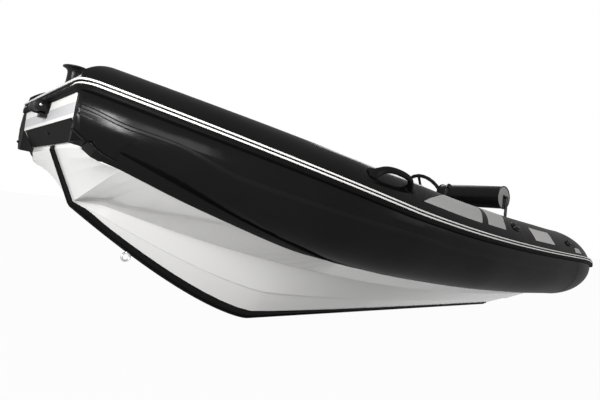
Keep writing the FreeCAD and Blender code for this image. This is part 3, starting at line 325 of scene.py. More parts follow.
def coated_fabric(name, colour, gloss):
    """Tube fabric: a fine woven base under a satin coat, with faint handling marks."""
    f = Finish(name)
    threads = (f.x * THREAD_RATE).sine() * (f.y * THREAD_RATE + f.z * THREAD_RATE).sine()
    marks, grain = f.noise(3.2, 4.0, 0.6), f.noise(900.0)
    return f.surface(
        f.blend(marks * 0.6, tint(colour), tint(colour, 1.7)),
        gloss + marks * 0.10 + grain * 0.04, threads * 0.25 + grain * 0.5, 0.1, 0.0003,
        Specular_IOR_Level=0.0, Coat_Roughness=gloss,
        Coat_Weight=marks * 0.08 + grain * 0.04 + (FABRIC_COAT - 0.06),
    )


def gelcoat_finish(name, colour, rough=0.16):
    """Polished gelcoat: a slight roll in the gloss, and a few faint scuffs."""
    f = Finish(name)
    roll, pale, scuffs = f.noise(9.0, 1.0), f.noise(1.7, 3.0, 0.55), f.noise(60.0, 5.0, 0.7)
    return f.surface(
        f.blend(pale * 0.5, tint(colour), tint(colour, 0.95)),
        rough + scuffs * 0.16, roll + scuffs * 0.02, 0.08, 0.002,
        Specular_IOR_Level=0.45, Coat_Weight=0.35, Coat_Roughness=0.06,
    )


def nonslip_finish(name, colour):
    """Moulded deck: rows of small raised diamonds in a matt gelcoat."""
    f = Finish(name)
    along, across = ((slant * (pi / DIAMOND_PITCH)).sine() for slant in (f.x + f.y, f.x - f.y))
    diamonds = (along * across).size() ** 0.5
    dirt = f.noise(26.0, 4.0, 0.6)
    return f.surface(
        f.blend(diamonds * 0.35 + dirt * 0.3, tint(colour, 0.86), tint(colour)),
        0.62 + dirt * 0.12, diamonds, 0.5, 0.0012, Specular_IOR_Level=0.3,
    )


def moulded_finish(name, colour, rough, grain_scale, grain_depth, gloss=0.0, coat=BLACK_COAT):
    """Moulded plastic or rubber with a fine pebble grain."""
    f = Finish(name)
    pebbles, wear = f.cells(grain_scale), f.noise(14.0, 4.0, 0.6)
    return f.surface(
        f.blend(wear * 0.6, tint(colour), tint(colour, 1.5)),
        rough + wear * 0.12, pebbles, grain_depth, 0.0005,
        Specular_IOR_Level=gloss, Coat_Weight=coat, Coat_Roughness=rough,
    )


def vinyl_finish(name, colour, rough=0.42):
    """Marine vinyl: leather grain of shallow cells, with creases of a larger scale."""
    f = Finish(name)
    grain, creases = f.cells(520.0, "DISTANCE_TO_EDGE"), f.noise(38.0, 4.0, 0.6)
    return f.surface(
        f.blend(creases * 0.5, tint(colour), tint(colour, 1.45)),
        rough + creases * 0.12, grain * 6.0 + creases * 0.8, 0.22, 0.0006,
        Specular_IOR_Level=0.0, Coat_Roughness=rough * 0.7,
        Coat_Weight=creases * 0.08 + (BLACK_COAT + 0.04),
    )


def steel_finish(name, colour):
    """Polished stainless steel with fine polishing lines and water marks."""
    f = Finish(name)
    stretched = f.add("ShaderNodeVectorMath", {"operation": "MULTIPLY"},
                      {0: f.where, 1: (900.0, 60.0, 900.0)})
    lines, marks = f.noise(1.0, 3.0, where=stretched), f.noise(45.0, 3.0, 0.6)
    return f.surface(
        f.blend(marks * 0.4, tint(colour), tint(colour, 0.8)),
        0.14 + lines * 0.08 + marks * 0.08, lines, 0.05, 0.0003, Metallic=1.0,
    )


def painted_shade_band_finish(name, colour, shade_band_colour, low, high):
    """White nose fabric with a level grey band of painted shade round it."""
    f = Finish(name)
    # the grey band is painted shade: a level band between two heights on the nose
    band = f.z.above(low) * f.z.below(high)
    marks, grain = f.noise(5.0, 4.0, 0.6), f.noise(800.0)
    white = f.blend(marks * 0.4, tint(colour), tint(colour, 0.95))
    return f.surface(
        f.blend(band, white, tint(shade_band_colour)),
        0.38 + grain * 0.08, grain, 0.12, 0.0004, Specular_IOR_Level=0.35,
    )


def tread_finish(name, colour):
    """Non-slip pad: close rows of fine ribs in grey foam rubber."""
    f = Finish(name)
    ribs = (f.x * (tau / TREAD_PITCH)).sine()
    speckle, dust = f.noise(700.0, 3.0, 0.7), f.noise(12.0, 4.0, 0.6)
    return f.surface(
        f.blend(speckle * 0.5 + dust * 0.2, tint(colour, 0.82), tint(colour, 1.08)),
        0.6 + dust * 0.14, ribs + speckle * 0.6, 0.35, 0.0006, Specular_IOR_Level=0.35,
    )


# ---- settings
def colour_of(name, what, *default):
    return FloatVectorProperty(name=name, description=f"Colour of {what}", subtype="COLOR",
                               size=3, min=0, max=1, default=default)


def number(name, description, default, low, high, **kind):
    return FloatProperty(
        name=name, description=description, default=default, min=low, max=high, **kind)


def length(name, description, default, low, high):
    return number(name, description, default, low, high, subtype="DISTANCE", unit="LENGTH")


def power(name, which, default):
    return number(name, f"Power of {which}", default, 0, 2000, subtype="POWER", unit="POWER")


class BoatFinishes(PropertyGroup):
    fabric: colour_of("Tube fabric", "the coated tube fabric", 0.0032, 0.0032, 0.0034)
    fabric_gloss: number("Fabric roughness", "Roughness of the tube fabric's coat",
                         0.17, 0, 1, subtype="FACTOR")
    gelcoat: colour_of("Gelcoat", "the hull and the console", 0.86, 0.855, 0.84)
    deck: colour_of("Deck", "the moulded non-slip deck", 0.62, 0.62, 0.61)
    rubber: colour_of("Rubber", "rails, guard, flaps and handles", 0.0042, 0.0042, 0.0042)
    bead: colour_of("Rail beads", "the two beads along the rub rail", 0.87, 0.86, 0.84)
    tread: colour_of("Tread pads", "the pads on top of the tubes", 0.46, 0.455, 0.45)
    # the grey of the nose band is painted shade
    band: colour_of("Nose band", "the level band round the white nose", 0.56, 0.56, 0.57)
    vinyl: colour_of("Vinyl", "the seat and backrest", 0.006, 0.006, 0.0065)
    piping: colour_of("Vinyl trim", "end caps and piping", 0.36, 0.36, 0.355)
    steel: colour_of("Steel", "the polished fittings", 0.62, 0.62, 0.63)


class BoatTrim(PropertyGroup):
    tape_lift: number("Tape thickness", "Seam tapes on the tubes, in millimetres", 0.9, 0.3, 3)
    pad_lift: number("Pad thickness", "Tread pads on the tubes, in millimetres", 1.6, 0.5, 5)
    edge_rounding: length("Edge rounding", "Radius rolled on moulded edges", 0.006, 0.001, 0.02)
    cushion_swell: length(
        "Cushion swell", "How far a padded face may rise above its seams", 0.012, 0.002, 0.03)
    foam_frames: IntProperty(
        name="Filling steps", description="Steps of the simulation that fills each cushion",
        default=18, min=4, max=40,
    )


class BoatStage(PropertyGroup):
    level: number("Fill level", "Strength of the even light round the boat", 0.34, 0, 2)
    key_lamp: power("Key power", "the large lamp to port", 46)
    bow_strip: power("Bow strip power", "the upright strip lamp off the bow", 95)
    quarter_lamp: power("Quarter lamp power", "the lamp off the starboard quarter", 60)
    sheen_lamp: power("Sheen power", "the broad lamp off the port quarter", 12)
    lens: number("Lens", "Focal length on a 36 mm wide sensor", 29.08, 10, 200,
                 subtype="DISTANCE_CAMERA", unit="CAMERA")


def settings():
    scene = bpy.context.scene
    return scene.boat_finishes, scene.boat_trim, scene.boat_stage


FINISHES = {}
# heights of the nose's band of painted shade, in millimetres
SHADE_BAND_LOW_Z, SHADE_BAND_HIGH_Z = 781, 820


def finish(name):
    """The named finish, made the first time a piece asks for it."""
    if name in FINISHES:
        return FINISHES[name]
    look = settings()[0]
    low, high = place((0, 0, SHADE_BAND_LOW_Z)).z, place((0, 0, SHADE_BAND_HIGH_Z)).z
    grip, plate, dial = (0.008, 0.008, 0.0085), (0.045, 0.046, 0.048), (0.75, 0.75, 0.74)
    maker, *given = {
        "fabric": (coated_fabric, "tube_fabric_black", look.fabric, look.fabric_gloss),
        "tape": (coated_fabric, "seam_tape", tint(look.fabric, 1.5), look.fabric_gloss + 0.05),
        "gelcoat": (gelcoat_finish, "gelcoat_white", look.gelcoat),
        "liner": (gelcoat_finish, "gelcoat_satin", tint(look.gelcoat, 0.95), 0.3),
        "deck": (nonslip_finish, "deck_diamond", look.deck),
        "rubber": (moulded_finish, "rubber_black", look.rubber, 0.42, 900.0, 0.08),
        "bead": (moulded_finish, "rail_bead_white", look.bead, 0.3, 600.0, 0.05, 0.4, 0.0),
        "plastic": (moulded_finish, "plastic_black", look.rubber, 0.28, 700.0, 0.12, 0.0, 0.4),
        "tread": (tread_finish, "tread_pad_grey", look.tread),
        "patch": (coated_fabric, "patch_grey", tint(look.tread, 1.1), 0.45),
        # the nose's grey band is painted shade
        "nose": (painted_shade_band_finish, "nose_banded", look.bead, look.band, low, high),
        "vinyl": (vinyl_finish, "vinyl_black", look.vinyl),
        "seat": (vinyl_finish, "vinyl_charcoal", tint(look.vinyl, 2.2)),
        "trim": (vinyl_finish, "vinyl_light_grey", look.piping, 0.5),
        "steel": (steel_finish, "steel_polished", look.steel),
        "plate": (moulded_finish, "pad_plate_grey", plate, 0.45, 500.0, 0.2, 0.3, 0.0),
        "grip": (moulded_finish, "wheel_grip_foam", grip, 0.6, 1300.0, 0.35),
        "dial": (moulded_finish, "dial_face", dial, 0.35, 300.0, 0.03, 0.4, 0.0),
    }[name]
    FINISHES[name] = maker(*given)
    return FINISHES[name]


# ---- mesh building
def smooth_faces(piece):
    for polygon in piece.data.polygons:
        polygon.use_smooth = True


def new_piece(name, points, faces, finishes, body="boat", tags=None, angle=35.0):
    """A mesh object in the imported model's frame, its faces outward, that rides on a body."""
    mesh = bpy.data.meshes.new(name)
    mesh.from_pydata([tuple(p) for p in points], [], faces)
    for each in finishes.split():
        mesh.materials.append(finish(each))
    for index, polygon in enumerate(mesh.polygons):
        polygon.material_index = tags[index] if tags else 0
    mesh.validate()
    work = bmesh.new()
    work.from_mesh(mesh)
    bmesh.ops.recalc_face_normals(work, faces=work.faces)
    work.to_mesh(mesh)
    work.free()
    piece = bpy.data.objects.new(name, mesh)
    bpy.context.scene.collection.objects.link(piece)
    smooth_faces(piece)
    mesh.set_sharp_from_angle(angle=radians(angle))
    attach(piece, body)
    return piece


def rounded_corners(half_x, half_y, corner, count):
    """Corner centres of a rounded box outline, each with the cosine and sine of its direction."""
    for quarter, (sx, sy) in enumerate(((1, 1), (-1, 1), (-1, -1), (1, -1))):
        for k in range(count):
            a = radians(90 * quarter + 90 * k / (count - 1))
            yield sx * (half_x - corner), sy * (half_y - corner), cos(a), sin(a)


class Shape:
    """Points and faces of one piece while it is put together."""

    def __init__(self):
        self.points, self.faces, self.tags = [], [], []

    def rings(self, rings, tags=None, tag=0, loop=False):
        """Skin over rings of equal length, capped or looped; tags give each column's finish."""
        base, size = len(self.points), len(rings[0])
        for ring in rings:
            self.points += [Vector(p) for p in ring]
        for r in range(len(rings) if loop else len(rings) - 1):
            row, below = base + r * size, base + (r + 1) % len(rings) * size
            for c in range(size):
                d = (c + 1) % size
                self.faces.append((row + c, row + d, below + d, below + c))
                self.tags.append(tags[c] if tags else tag)
        if not loop:
            for start, turn in ((base, -1), (base + (len(rings) - 1) * size, 1)):
                self.faces.append(tuple(range(start, start + size))[::turn])
                self.tags.append(tag)
        return self

    def turned(self, centre, axis, outline, steps=32, tag=0, loop=False):
        """Outline of (radius, height) turned about an axis: from it and back, or a closed loop."""
        axis, side, other = square_to(axis)
        rings = [oval(centre + axis * height, side, other, steps, max(radius, 1e-5))
                 for radius, height in outline]
        return self.rings(rings, tag=tag, loop=loop)

    def bar(self, path, radius, steps=14, loop=False):
        """Round bar along points; radius may be a function of the share of the way."""
        rings, side, count = [], None, len(path)
        for k, point in enumerate(path):
            before = path[(k - 1) % count] if loop else path[max(k - 1, 0)]
            after = path[(k + 1) % count] if loop else path[min(k + 1, count - 1)]
            forward = (after - before).normalized()
            side = side - forward * side.dot(forward) if side else forward.orthogonal()
            side = side.normalized()
            r = radius(k / (count - 1)) if callable(radius) else radius
            rings.append(oval(point, side, forward.cross(side), steps, r))
        return self.rings(rings, loop=loop)

    def block(self, low, high, round_by):
        """Box with rounded edges, made as rings of a rounded outline."""
        low, high = Vector(low), Vector(high)
        centre, half = (low + high) / 2, (high - low) / 2
        r = min(round_by, *(h * 0.98 for h in half))
        rings = []
        for sign, turn in [(-1, b) for b in (0, 30, 60, 90)] + [(1, b) for b in (90, 60, 30, 0)]:
            reach = sin(radians(turn)) * r
            z = sign * (half.z - r + cos(radians(turn)) * r)
            rings.append([centre + Vector((x + c * reach, y + s * reach, z))
                          for x, y, c, s in rounded_corners(half.x, half.y, r, 5)])
        return self.rings(rings)

    def plate(self, outline, origin, first, second, thickness, edge):
        """Flat plate with rolled edges: outline in two directions, thick in the third."""
        out = first.cross(second).normalized()
        middle = [sum(p[k] for p in outline) / len(outline) for k in (0, 1)]
        levels = [(edge, 0), (edge * 0.3, edge * 0.3), (0, edge)]
        levels += [(inset, thickness - height) for inset, height in levels[::-1]]
        rings = []
        for inset, height in levels:
            ring = []
            for a, b in outline:
                away = Vector((a - middle[0], b - middle[1])).normalized() * inset
                ring.append(origin + first * (a - away.x) + second * (b - away.y) + out * height)
            rings.append(ring)
        return self.rings(rings)

    def mirror(self):
        """The same shape on the other side of the boat."""
        other = Shape()
        other.points = [Vector((p.x, -p.y, p.z)) for p in self.points]
        other.faces = [face[::-1] for face in self.faces]
        other.tags = self.tags[:]
        return other

    def join(self, other):
        base = len(self.points)
        self.points += other.points
        self.faces += [tuple(base + k for k in face) for face in other.faces]
        self.tags += other.tags
        return self

    def piece(self, name, finishes, slot=None, body="boat", nodes=(), angle=35.0):
        """The shape as a piece on a body, standing for nodes; the slot is not used."""
        made = new_piece(name, self.points, self.faces, finishes, body, self.tags, angle)
        for node in nodes:
            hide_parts(node)
        return made

    def both_sides(self, name, finishes, slot, *nodes):
        """Port and starboard pieces of a port shape, standing for port_ and starboard_ nodes."""
        for side, one in (("port", self), ("starboard", self.mirror())):
            one.piece(f"{side}_{name}", finishes, slot, nodes=[f"{side}_{node}" for node in nodes])


def dress(name, *nodes):
    """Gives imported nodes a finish."""
    for node in nodes:
        data = NODES[node].data
        data.materials.clear()
        data.materials.append(finish(name))


def rolled_edges(node, width, segments=3):
    """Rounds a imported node's hard edges where it stands."""
    modifier = NODES[node].modifiers.new("rolled_edges", "BEVEL")
    modifier.width, modifier.segments = width, segments
    modifier.limit_method, modifier.angle_limit = "ANGLE", radians(40)
    modifier.harden_normals = True


def bolt_heads(name, places, r, h, finishes, slot):
    """Domed bolt heads with a washer at (point, outward direction) pairs."""
    shape = Shape()
    for point, direction in places:
        shape.turned(point, direction, [
            (0, -h * 0.5), (r * 1.35, -h * 0.5), (r * 1.4, h * 0.12), (r * 1.3, h * 0.22),
            (r, h * 0.25), (r * 0.98, h * 0.55), (r * 0.8, h * 0.82), (r * 0.45, h),
            (r * 0.4, h * 0.8), (0, h * 0.78),
        ], 20)
    shape.piece(name, finishes, slot)


class TubeSkin:
    """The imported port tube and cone, to lay thin pieces on."""

    ROOT = -1.5              # depth of a laid piece's underside below the skin, in millimetres

    def __init__(self):
        meshes = [NODES[name].data for name in ("port_tube", "port_stern_cone")]
        self.trees = [
            BVHTree.FromPolygons([v.co for v in m.vertices], [p.vertices[:] for p in m.polygons])
            for m in meshes
        ]

    def seat(self, s, angle, lift=0.0):
        """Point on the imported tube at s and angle, lift millimetres above it."""
        centre, (normal, _) = tube_point(s), round_tube(s, angle)
        skin = place(centre + normal * tube_radius(centre.x))
        best = None
        for tree in self.trees:
            hit, _, _, distance = tree.ray_cast(skin + normal * 0.04, -normal, 0.08)
            if hit is not None and (best is None or distance < best[1]):
                best = (hit, distance)
        return (best[0] if best else skin) + normal * lift / 1000

    def lay(self, shape, rows):
        """Thin skin over rows of (s, angle, lift), closed below."""
        shape.rings([
            [self.seat(*at) for at in row] + [self.seat(s, a, self.ROOT) for s, a, _ in row[::-1]]
            for row in rows
        ])

    def strip(self, shape, edges, lift, across=6):
        """Thin strip between two edges: a ((s, angle), (s, angle)) pair for each step along it."""
        self.lay(shape, [
            [(lerp(s0, s1, t), lerp(a0, a1, t), lift if 0 < t < 1 else 0)
             for t in even(0, 1, across)]
            for (s0, a0), (s1, a1) in edges
        ])

    def patch(self, shape, front, aft, lift, rows=14, columns=36):
        """Glued pad between two edges given as (angle, s) pairs."""
        low, high = max(front[0][0], aft[0][0]), min(front[-1][0], aft[-1][0])
        rim = lift * 0.55
        self.lay(shape, [
            [(lerp(interp(a, *zip(*aft)), interp(a, *zip(*front)), t),
              a, lift if 0 < t < 1 and low < a < high else rim)
             for t in even(0, 1, columns)]
            for a in even(low, high, rows)
        ])


SKIN = TubeSkin()


# ---- hull and deck
class BOAT_OT_hull(Operator):
    """Hull and deck in gelcoat, with rolled edges"""
    bl_idname = "boat.hull"
    bl_label = "Hull and deck"

    def execute(self, context):
        self.shell()
        dress("deck", "deck")
        dress("liner", "bow_platform", "transom")
        rolled_edges("bow_platform", settings()[1].edge_rounding)
        return {"FINISHED"}

    def shell(self):
        """The hull with its sides shaded as one fair curve from station to station."""
        work = bmesh.new()
        work.from_mesh(NODES["hull"].data)
        bmesh.ops.remove_doubles(work, verts=work.verts, dist=1e-5)
        points = [v.co.copy() for v in work.verts]
        faces = [tuple(v.index for v in face.verts) for face in work.faces]
        work.free()
        hull = new_piece("hull_shell", points, faces, "gelcoat", angle=16)
        hull.modifiers.new("fair_shading", "WEIGHTED_NORMAL").keep_sharp = True
        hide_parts("hull")


GUARD_DEPTH = 5.25           # the guard's face below the keel line
RIB_SECTION = ((-9, -4), (-8.5, 0.6), (-5.5, 1.0), (-4.2, 3.0), (-1.5, 4.2), (1.5, 4.2),
               (4.2, 3.0), (5.5, 1.0), (8.5, 0.6), (9, -4))


class BOAT_OT_keel_guard(Operator):
    """Rubber guard on the keel, with the raised rib along its middle"""
    bl_idname = "boat.keel_guard"
    bl_label = "Keel guard"

    def execute(self, context):
        dress("rubber", "keel_guard")
        stations = even(2, KEEL_RISE_X, 16) + even(KEEL_RISE_X, KNUCKLE_X - 4, 30)[1:]
        stations += even(KNUCKLE_X + 4, STEM_TOP_X - 6, 10)
        rings = []
        for x in stations:
            slope = (keel_height(x + 2) - keel_height(x - 2)) / 4
            down = Vector((slope, 0, -1)).normalized()
            root = Vector((x + GUARD_DEPTH, 0, keel_height(x) - GUARD_DEPTH))
            rings.append([place(root + down * h + PORT * y) for y, h in RIB_SECTION])
        Shape().rings(rings).piece("keel_guard_rib", "rubber", "black_rubber")
        return {"FINISHED"}


# ---- tubes
TREAD_PADS = (   # front edge, then aft edge, each as (angle, s) pairs from the lower edge up
    (((30, 1970), (40, 1898), (50, 1814), (60, 1738), (71, 1655)),
     ((31, 1466), (44, 1424), (58, 1376), (71, 1330))),
    (((31, 1400), (48, 1358), (62, 1327), (75, 1299)),
     ((32, 1208), (47, 1172), (60, 1112), (75, 1042))),
)
BARE_PATCHES = (
    (((28, 830), (41, 836), (57, 824)), ((26, 530), (37, 548), (52, 530))),
    (((22, 164), (31, 152)), ((22, 32), (31, 56))),
)
LONG_SEAM = ((3012, 7), (2960, 6), (2876, 2), (2744, 1), (2588, -9), (2360, -10), (2028, -9),
             (1600, -9), (1000, -9), (500, -9), (130, -9))      # s, angle
SHORT_SEAM = ((3000, -1), (2978, -2), (2955, -3))
NOSE_SEAM = ((3004, 2972), (3021, 2990), (18, -18))   # one edge's s, the other's, and the angle
RING_SEAMS, RING_HALF, RING_TOP = ((138, -62), (1000, 18)), 17, 118    # s and lowest angle
PAD_SEAM = ((31, 1982), (42, 1940), (60, 1886), (73, 1868), (95, 1850), (120, 1846))  # angle, s
FLAP_BEAD_RADIUS, FLAP_BEAD_GROWTH = 0.0018, 0.0026
FLAP_BEAD = ((2300, -78), (2500, -66), (2642, -56), (2756, -45), (2888, -35), (2918, -32),
             (2942, -28), (2972, -23), (2990, -19))             # s, angle


class BOAT_OT_tubes(Operator):
    """Buoyancy tubes and stern cones, with their seam tapes, tread pads and patches"""
    bl_idname = "boat.tubes"
    bl_label = "Tubes"

    def execute(self, context):
        trim = settings()[1]
        dress("fabric", "port_tube", "port_stern_cone", "starboard_tube", "starboard_stern_cone")
        self.tapes(trim.tape_lift)
        for name, finishes, slot, table, lift in (
            ("tread_pads", "tread", "deck_nonslip", TREAD_PADS, trim.pad_lift),
            ("tube_patches", "patch", "tube_fabric", BARE_PATCHES, trim.pad_lift * 0.7),
        ):
            pads = Shape()
            for front, aft in table:
                SKIN.patch(pads, front, aft, lift)
            pads.both_sides(name, finishes, slot)
        return {"FINISHED"}

    def tapes(self, lift):
        shape = Shape()
        for seam, steps, width, rise in ((LONG_SEAM, 90, 4.5, 1), (SHORT_SEAM, 8, 2.5, 1.4)):
            line = smooth_line(seam, steps)
            SKIN.strip(shape, [((s, a - width), (s, a)) for s, a in line], lift * rise)
        near, far, turn = (even(*ends, 16) for ends in NOSE_SEAM)
        SKIN.strip(shape, list(zip(zip(near, turn), zip(far, turn))), lift * 1.2, 4)
        line = smooth_line(PAD_SEAM, 26)
        SKIN.strip(shape, [((s - 26, a), (s, a)) for a, s in line], lift, 4)
        for s, low in RING_SEAMS:
            edges = [((s - RING_HALF, a), (s + RING_HALF, a)) for a in even(low, RING_TOP, 30)]
            SKIN.strip(shape, edges, lift, 4)
        shape.both_sides("seam_tapes", "tape", "tube_fabric")


class BOAT_OT_joint_flaps(Operator):
    """Rubber flap over the joint of tube and hull, with a bead along its upper edge"""
    bl_idname = "boat.joint_flaps"
    bl_label = "Joint flaps"

    def execute(self, context):
        dress("rubber", "port_joint_flap", "starboard_joint_flap")
        path = [SKIN.seat(s, angle, 2.0) for s, angle in smooth_line(FLAP_BEAD, 70)]
        bead = Shape().bar(path, lambda t: FLAP_BEAD_RADIUS + FLAP_BEAD_GROWTH * t, 10)
        bead.both_sides("flap_bead", "rubber", "rail_rubber")
        return {"FINISHED"}


# ---- rub rails
RAIL_PROFILE = (   # along the tube's side, out from its skin, 1 where the next face is bead
    (19, -10, 0), (19, 8, 0), (17.6, 13, 0), (15, 16, 0), (13.4, 16, 1), (12.2, 18.6, 1),
    (10, 19.6, 1), (7.8, 18.6, 1), (6.6, 16, 0), (4, 14.2, 0), (2.4, 13.6, 0), (0.6, 14.2, 0),
    (-1.4, 16, 1), (-2.6, 18.8, 1), (-5, 20, 1), (-7.4, 18.8, 1), (-8.6, 16, 0), (-11, 13.4, 0),
    (-13, 15.4, 0), (-16, 16.2, 0), (-19, 13.4, 0), (-21, 14.2, 0), (-23.4, 12.4, 0),
    (-25.4, 14.2, 0), (-27.4, 13.6, 0), (-29, 6, 0), (-29, -10, 0),
)
RAIL_END_S = 2978.0          # where the side rail leaves the tube and turns to the nose
LOWER_BEAD, LOWER_BEAD_HALF, BEAD_ROOT = -5.0, 4.2, 14.6
LOWER_BEAD_FADE = 110.0      # over this run from the corner the nose rail's lower bead dies away
CORNER_BEAD = 0.5            # how much of the lower bead is left at the corner
NOSE_RAIL_Y, NOSE_RAIL_Z = 410.0, 878.0
RAIL_END_SWELL = (           # s, swell of the moulded ends at the stern cones
    (-386, 0.75), (-384, 1.02), (-378, 1.18), (-366, 1.22), (-352, 1.16), (-347, 1.0))
RAIL_END_MIDDLE, RAIL_END_HALF, RAIL_END_DEPTH, RAIL_END_ROOT = -5.5, 27.5, 19.0, -8.0


class BOAT_OT_rub_rails(Operator):
    """Rub rails round the tubes and the nose: ribbed black rubber with two white beads"""
    bl_idname = "boat.rub_rails"
    bl_label = "Rub rails"

    def station(self, s):
        centre = tube_point(s)
        angle = lerp(RAIL_ANGLE_AFT, RAIL_ANGLE_BOW, bow_share(centre.x))
        normal, rise = round_tube(s, angle)
        return centre + normal * tube_radius(centre.x), normal, rise

    def ring(self, base, normal, rise, second=1.0):
        """Profile at a station; second is how much of the lower bead there is."""
        points = []
        for t, h, _ in RAIL_PROFILE:
            if abs(t - LOWER_BEAD) <= LOWER_BEAD_HALF and second < 1:
                t, h = lerp(LOWER_BEAD, t, max(second, 0.02)), lerp(BEAD_ROOT, h, second)
            points.append(place(base + rise * t + normal * h))
        return points

    def execute(self, context):
        values = even(CONE_END_X + 30, CONE_START_X, 26) + even(CONE_START_X, SHOULDER_X, 70)[1:]
        values += even(SHOULDER_X, RAIL_END_S, 90)[1:]
        rings = [self.ring(*self.station(s)) for s in values]
        start, normal, rise = self.station(RAIL_END_S)
        heading = tube_frame(RAIL_END_S)[3]
        end = Vector((NOSE_FRONT_X, NOSE_RAIL_Y, NOSE_RAIL_Z))
        reach = (end - start).length * 0.45
        corner = (start, start + heading * reach, end + PORT * reach, end)
        for k in range(1, 17):
            t = k / 16
            base = sum((c * w for c, w in zip(corner, bezier(t))), Vector())
            out, up = normal.slerp(FORE, t), rise.slerp(UP, t)
            up = (up - out * up.dot(out)).normalized()
            rings.append(self.ring(base, out, up, lerp(1.0, CORNER_BEAD, t)))
        tags = [bead for _, _, bead in RAIL_PROFILE]
        side = Shape().rings(rings, tags)
        side.both_sides("rub_rail_profile", "rubber bead", "rail_rubber", "rub_rail")
        rings = []
        for y in even(NOSE_RAIL_Y, -NOSE_RAIL_Y, 60):
            second = max(0.0, CORNER_BEAD - (NOSE_RAIL_Y - abs(y)) / LOWER_BEAD_FADE)
            rings.append(self.ring(Vector((NOSE_FRONT_X, y, NOSE_RAIL_Z)), FORE, UP, second))
        nose = Shape().rings(rings, tags)
        nose.piece("nose_rub_rail_profile", "rubber bead", "rail_rubber", nodes=["nose_rub_rail"])
        self.stern_ends()
        return {"FINISHED"}

    def stern_ends(self):
        """Moulded ends on the rails, at the stern cones."""
        rings = []
        for s, swell in RAIL_END_SWELL:
            base, normal, rise = self.station(s)
            ring = []
            for c, d in circle(24):
                t = RAIL_END_MIDDLE + RAIL_END_HALF * c * swell * (1 if abs(c) < 0.9 else 0.97)
                h = RAIL_END_DEPTH * swell * abs(d) ** 0.5 * (1 if d > 0 else -0.4)
                ring.append(place(base + rise * t + normal * max(RAIL_END_ROOT, h)))
            rings.append(ring)
        Shape().rings(rings).both_sides("rub_rail_end", "rubber", "rail_rubber")


# ---- nose
class BOAT_OT_nose(Operator):
    """White nose with its grey band of painted shade, and the black apron below it"""
    bl_idname = "boat.nose"
    bl_label = "Nose"

    def execute(self, context):
        dress("nose", "nose_tube", "nose_panel")
        dress("rubber", "nose_apron")
        rolled_edges("nose_apron", 0.002)
        out = Vector((0.86, 0, -0.5))
        places = [(place((3232, -14, 742)), out), (place((3232, 12, 736)), out)]
        bolt_heads("apron_bolts", places, 0.0038, 0.003, "plastic", "black_plastic")
        return {"FINISHED"}


# ---- fittings at the bow
BITT_FOOT = (3180, 0, 935)
BITT_OUTLINE = (             # radius, height
    (0, -1), (34, -1), (34, 3.5), (33, 6), (30, 8), (27.5, 12), (26, 20), (25.4, 34), (25, 46),
    (25, 56), (26.5, 64), (31, 71), (37.5, 75.5), (43.5, 77.5), (45, 80), (44.6, 82.4),
    (41, 84.6), (30, 87), (14, 88), (0, 88),
)
ROLLER_CENTRE = (3278, 0, 837)
ROLLER_HALF = ((6.05, -38), (16, -38), (19, -37), (20, -35), (20, -26), (18.6, -20),
               (16.4, -12), (15.4, -5), (15, 0))
PIN_OUTLINE = ((0, -50.5), (3, -50.4), (5, -49.4), (5.4, -48), (5.4, 48), (5, 50.4),
               (3, 51.6), (0, 52))
CHEEK_REACH = 24
CHEEK_FOOT = [(3260, 857), (3251, 862), (3251, 838), (3251, 813)]       # x, z
LIP = ((-26, 3249), (26, 3249), (26, 3266), (20, 3272), (-20, 3272), (-26, 3266))        # y, x
BACK_X, BACK_REACH, BACK_MIDDLE_Z, BACK_TOP_Z = 3249, 76, 879, 852.5
EYE_X, EYE_RADIUS, EYE_BAR = 2864, 17, 4.6


class BOAT_OT_bow_fittings(Operator):
    """Mooring bitt, anchor roller with its bracket, and the towing eye on the stem"""
    bl_idname = "boat.bow_fittings"
    bl_label = "Bow fittings"

    def execute(self, context):
        bitt = Shape().turned(place(BITT_FOOT), UP, metres(BITT_OUTLINE), 56)
        bitt.piece("bow_bitt_turned", "plastic", "black_plastic", nodes=["bow_bitt"], angle=50)
        profile = metres(ROLLER_HALF + tuple((r, -h) for r, h in ROLLER_HALF[-2::-1]))
        roller = Shape().turned(place(ROLLER_CENTRE), PORT, profile, 48, loop=True)
        roller.piece(
            "bow_roller_turned", "plastic", "black_plastic", "roller", ["bow_roller"], 50)
        self.bracket()
        self.eye()
        return {"FINISHED"}

    def bracket(self):
        """Two cheeks and a lip on a round back plate, and the pin between the cheeks."""
        x, _, z = ROLLER_CENTRE
        cheek = metres(arc(x, z, CHEEK_REACH, -90, 180) + CHEEK_FOOT)
        shape = Shape()
        for y in (48, -40):
            shape.plate(cheek, place((0, y, 0)), FORE, UP, 0.008, 0.0016)
        shape.plate(metres(LIP), place((0, 0, 811)), PORT, FORE, 0.016, 0.002)
        corner = degrees(asin((BACK_MIDDLE_Z - BACK_TOP_Z) / BACK_REACH))
        back = arc(0, BACK_MIDDLE_Z, BACK_REACH, 180 + corner, 180 - 2 * corner)
        shape.plate(metres(back), place((BACK_X, 0, 0)), PORT, UP, 0.0035, 0.001)
        shape.piece("bow_roller_bracket_plates", "plastic", "black_plastic",
                    nodes=["bow_roller_bracket"], angle=40)
        pin = Shape().turned(place(ROLLER_CENTRE), PORT, metres(PIN_OUTLINE))
        pin.piece("bow_roller_pin", "steel", "stainless")

    def eye(self):
        section = metres((EYE_RADIUS + EYE_BAR * c, EYE_BAR * d) for c, d in circle(12))
        shape = Shape().turned(place((EYE_X, 0, 279)), PORT, section, 40, loop=True)
        shank = [place((x, 0, z)) for x, z in ((EYE_X, 298), (2862, 306), (2860, 318))]
        shape.bar(shank, 0.0052, 12)
        shape.piece("bow_eye_ring", "steel", "stainless", nodes=["bow_eye"], angle=50)


